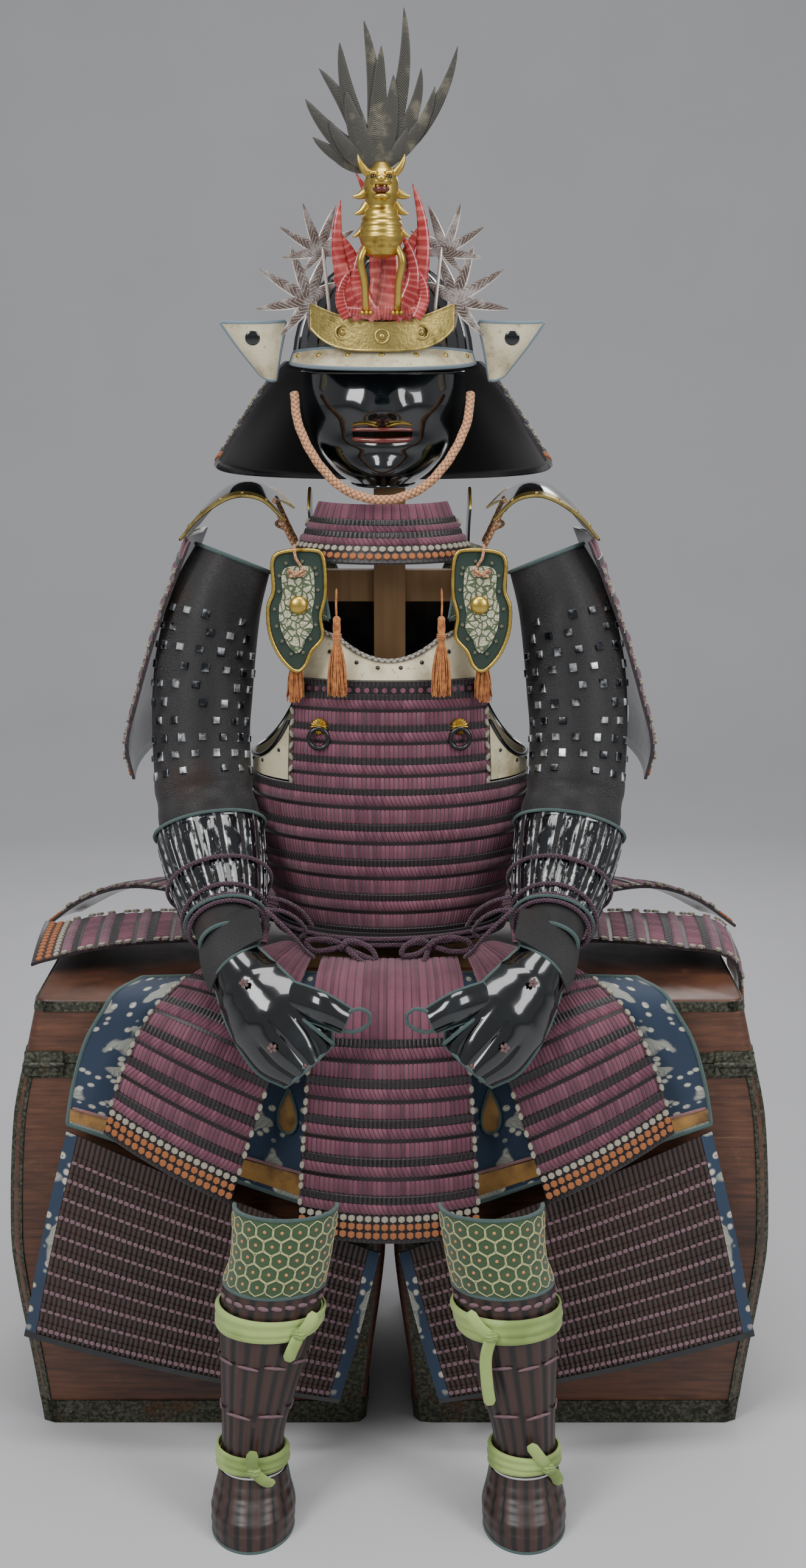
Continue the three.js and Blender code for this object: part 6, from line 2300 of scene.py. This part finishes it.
for row in range(-4, 5):
    for column in range(-6, 7):
        cx, cz = (column + 0.5 * (row % 2)) * HEX * 1.732, row * HEX * 1.5 + 45
        if not (10 < cz < 81 and abs(cx) < 84):
            continue
        corners = [
            (cx + HEX * 0.94 * math.sin(k * math.pi / 3), cz + HEX * 0.94 * math.cos(k * math.pi / 3))
            for k in range(6)
        ]
        us, vs = np.array([c[0] / 92 for c in corners]), np.array([c[1] / 90.5 for c in corners])
        if np.abs(us).max() > 0.96 or vs.min() < 0.03 or vs.max() > 0.97:
            continue
        fine_us = np.array([us[k] + (us[(k + 1) % 6] - us[k]) * s for k in range(6) for s in (0, 0.5)])
        fine_vs = np.array([vs[k] + (vs[(k + 1) % 6] - vs[k]) * s for k in range(6) for s in (0, 0.5)])
        knee_bits.append(
            rope(
                surface(knee, fine_us, fine_vs, knee_puff(fine_us, fine_vs) + 0.2)[0], 0.75, 5, 4,
                loop=True, paint=1
            )
        )
        at_u, at_v = np.array([cx / 92]), np.array([cz / 90.5])
        knee_bits += studs(*surface(knee, at_u, at_v, knee_puff(at_u, at_v)), 2.2, 1.0, 2, 6)
pair(
    "knee_brocade", shell(knee, 50, 30, 4.0, knee_puff) + outline_rope(knee, 2.6, 0.2, 50, 3) + knee_bits,
    [green_ground, gold_thread, salmon_silk, piping], "cloth_green", ["knee_guard"], sharp=60,
)
shin_dots = bead_row(shin, 0.955, 15, 6, 2, 1.0, 1) + bead_row(
    shin, 0.62, 34, 4, 1.6, 0.6, 1
) + bead_row(shin, 0.34, 38, 4, 1.6, 0.6, 1)
pair(
    "shin_lacquered",
    shell(
        shin, 84, 24, 2.4, lambda u,
        v: 0.7 * np.cos(u * math.pi * 14) * np.sin(math.pi * v) ** 0.3 + 0.9 * (v > 0.93)
    ) + shin_dots,
    [brown_scales, plum_knots], "lacquer_brown", ["shin_guard"], sharp=60,
)
pair(
    "foot_lacquered",
    shell(
        foot, 50, 20, 2.4, lambda u, v: 0.8 * np.cos(v * math.pi * 10) * (v > 0.1) * (v < 0.9)
    ) + outline_rope(foot, 1.8, 0.0, 50, 1, top=False),
    [brown_scales, piping], "lacquer_brown", ["foot_guard"], sharp=60,
)

tie_paint = Paint("green_tie", Sheen_Weight=0.2)
_, tv = tie_paint.uv()
pleats = (tv * 5.0 + tie_paint.noise(12, 3) * 1.4).ridge()
tie_cloth = tie_paint.finish(
    # Painted shade: darker bands follow the pleats of the folded tie; the noise adds random tone.
    tie_paint.mix(
        tint(168, 192, 114), tint(112, 132, 70), pleats.ramp(0.5, 1.0) * 0.6 + tie_paint.noise(30, 3) * 0.3
    ), 0.92, pleats, 0.0009
)


def wrap_cloth(form, low_lift, slope, seed, out=4.4):
    """One turn of a folded cloth tie round the leg, a little uneven."""
    draw = np.random.default_rng(seed)
    waves = draw.uniform(-1, 1, 6)

    def turned(u, v):
        rise = slope * u + 0.012 * (waves[0] * np.sin(3 * u + waves[1] * 3) + waves[2] * np.sin(7 * u))
        return form(u, np.asarray(v) + rise + low_lift)

    relief = lambda u, v: out + 1.6 * np.sin(math.pi * v) + 0.9 * np.sin(
        math.pi * (3 * v + waves[3] * u)
    ) + 0.5 * waves[4] * np.sin(9 * u)
    return shell(turned, 44, 9, 2.0, relief)


def cloth_knot(at, tails, wide=17, tall=15):
    """A flat knot with its tails, each a folded strip from the knot."""
    x, y, z = at
    parts = [
        ball((x, y, z), (wide / 2, 5.5, tall / 2), rows=12, sides=18),
        ball((x + 3, y - 3, z + 2), (wide / 4, 3, tall / 2.4))
    ]
    for tail in tails:
        parts.append(
            rope([(x + dx, y + dy, z + dz) for dx, dy, dz in tail], 7.0, 10, 5, flat=0.28, up=(0, -1, 0))
        )
    return parts


band_low, band_high = wrapped(LEG, 238, 258, 176), wrapped(LEG, 74, 90, 176)
right_ties = wrap_cloth(band_low, 0.0, 0.10, 3) + wrap_cloth(
    band_low, 0.5, -0.22, 4, 5.6
) + wrap_cloth(band_high, 0.1, 0.1, 5) + wrap_cloth(
    band_high, 0.5, -0.25, 6, 5.4
)
left_ties = wrap_cloth(band_low, 0.1, -0.12, 7) + wrap_cloth(
    band_low, 0.4, 0.25, 8, 5.6
) + wrap_cloth(band_high, 0.1, -0.1, 9) + wrap_cloth(
    band_high, 0.5, 0.2, 10, 5.4
)
right_ties += cloth_knot(
    (118, -268, 250),
    [[(0, 0, 0), (-6, -5, -24), (-4, -2, -58), (0, 2, -86)], [(0, 0, 0), (-14, -2, 14), (-26, 4, 30)]]
)
right_ties += cloth_knot(
    (186, -268, 84), [[(0, 0, 0), (-8, -5, 14), (-22, -6, 34)], [(0, 0, 0), (10, 4, -12), (14, 10, -26)]]
)
left_ties += cloth_knot(
    (102, -262, 250), [[(0, 0, 0), (8, -4, -16), (14, 2, -34)], [(0, 0, 0), (-10, -2, 12), (-18, 4, 26)]]
)
left_ties += cloth_knot(
    (156, -276, 84), [[(0, 0, 0), (2, -5, 16), (0, -6, 30)], [(0, 0, 0), (-12, -2, -10), (-22, 4, -18)]]
)
build("leg_tie_right_cloth", right_ties, tie_cloth, "cloth_tie", ["leg_tie_right"], sharp=60)
build("leg_tie_left_cloth", mirror(left_ties), tie_cloth, "cloth_tie", ["leg_tie_left"], sharp=60)
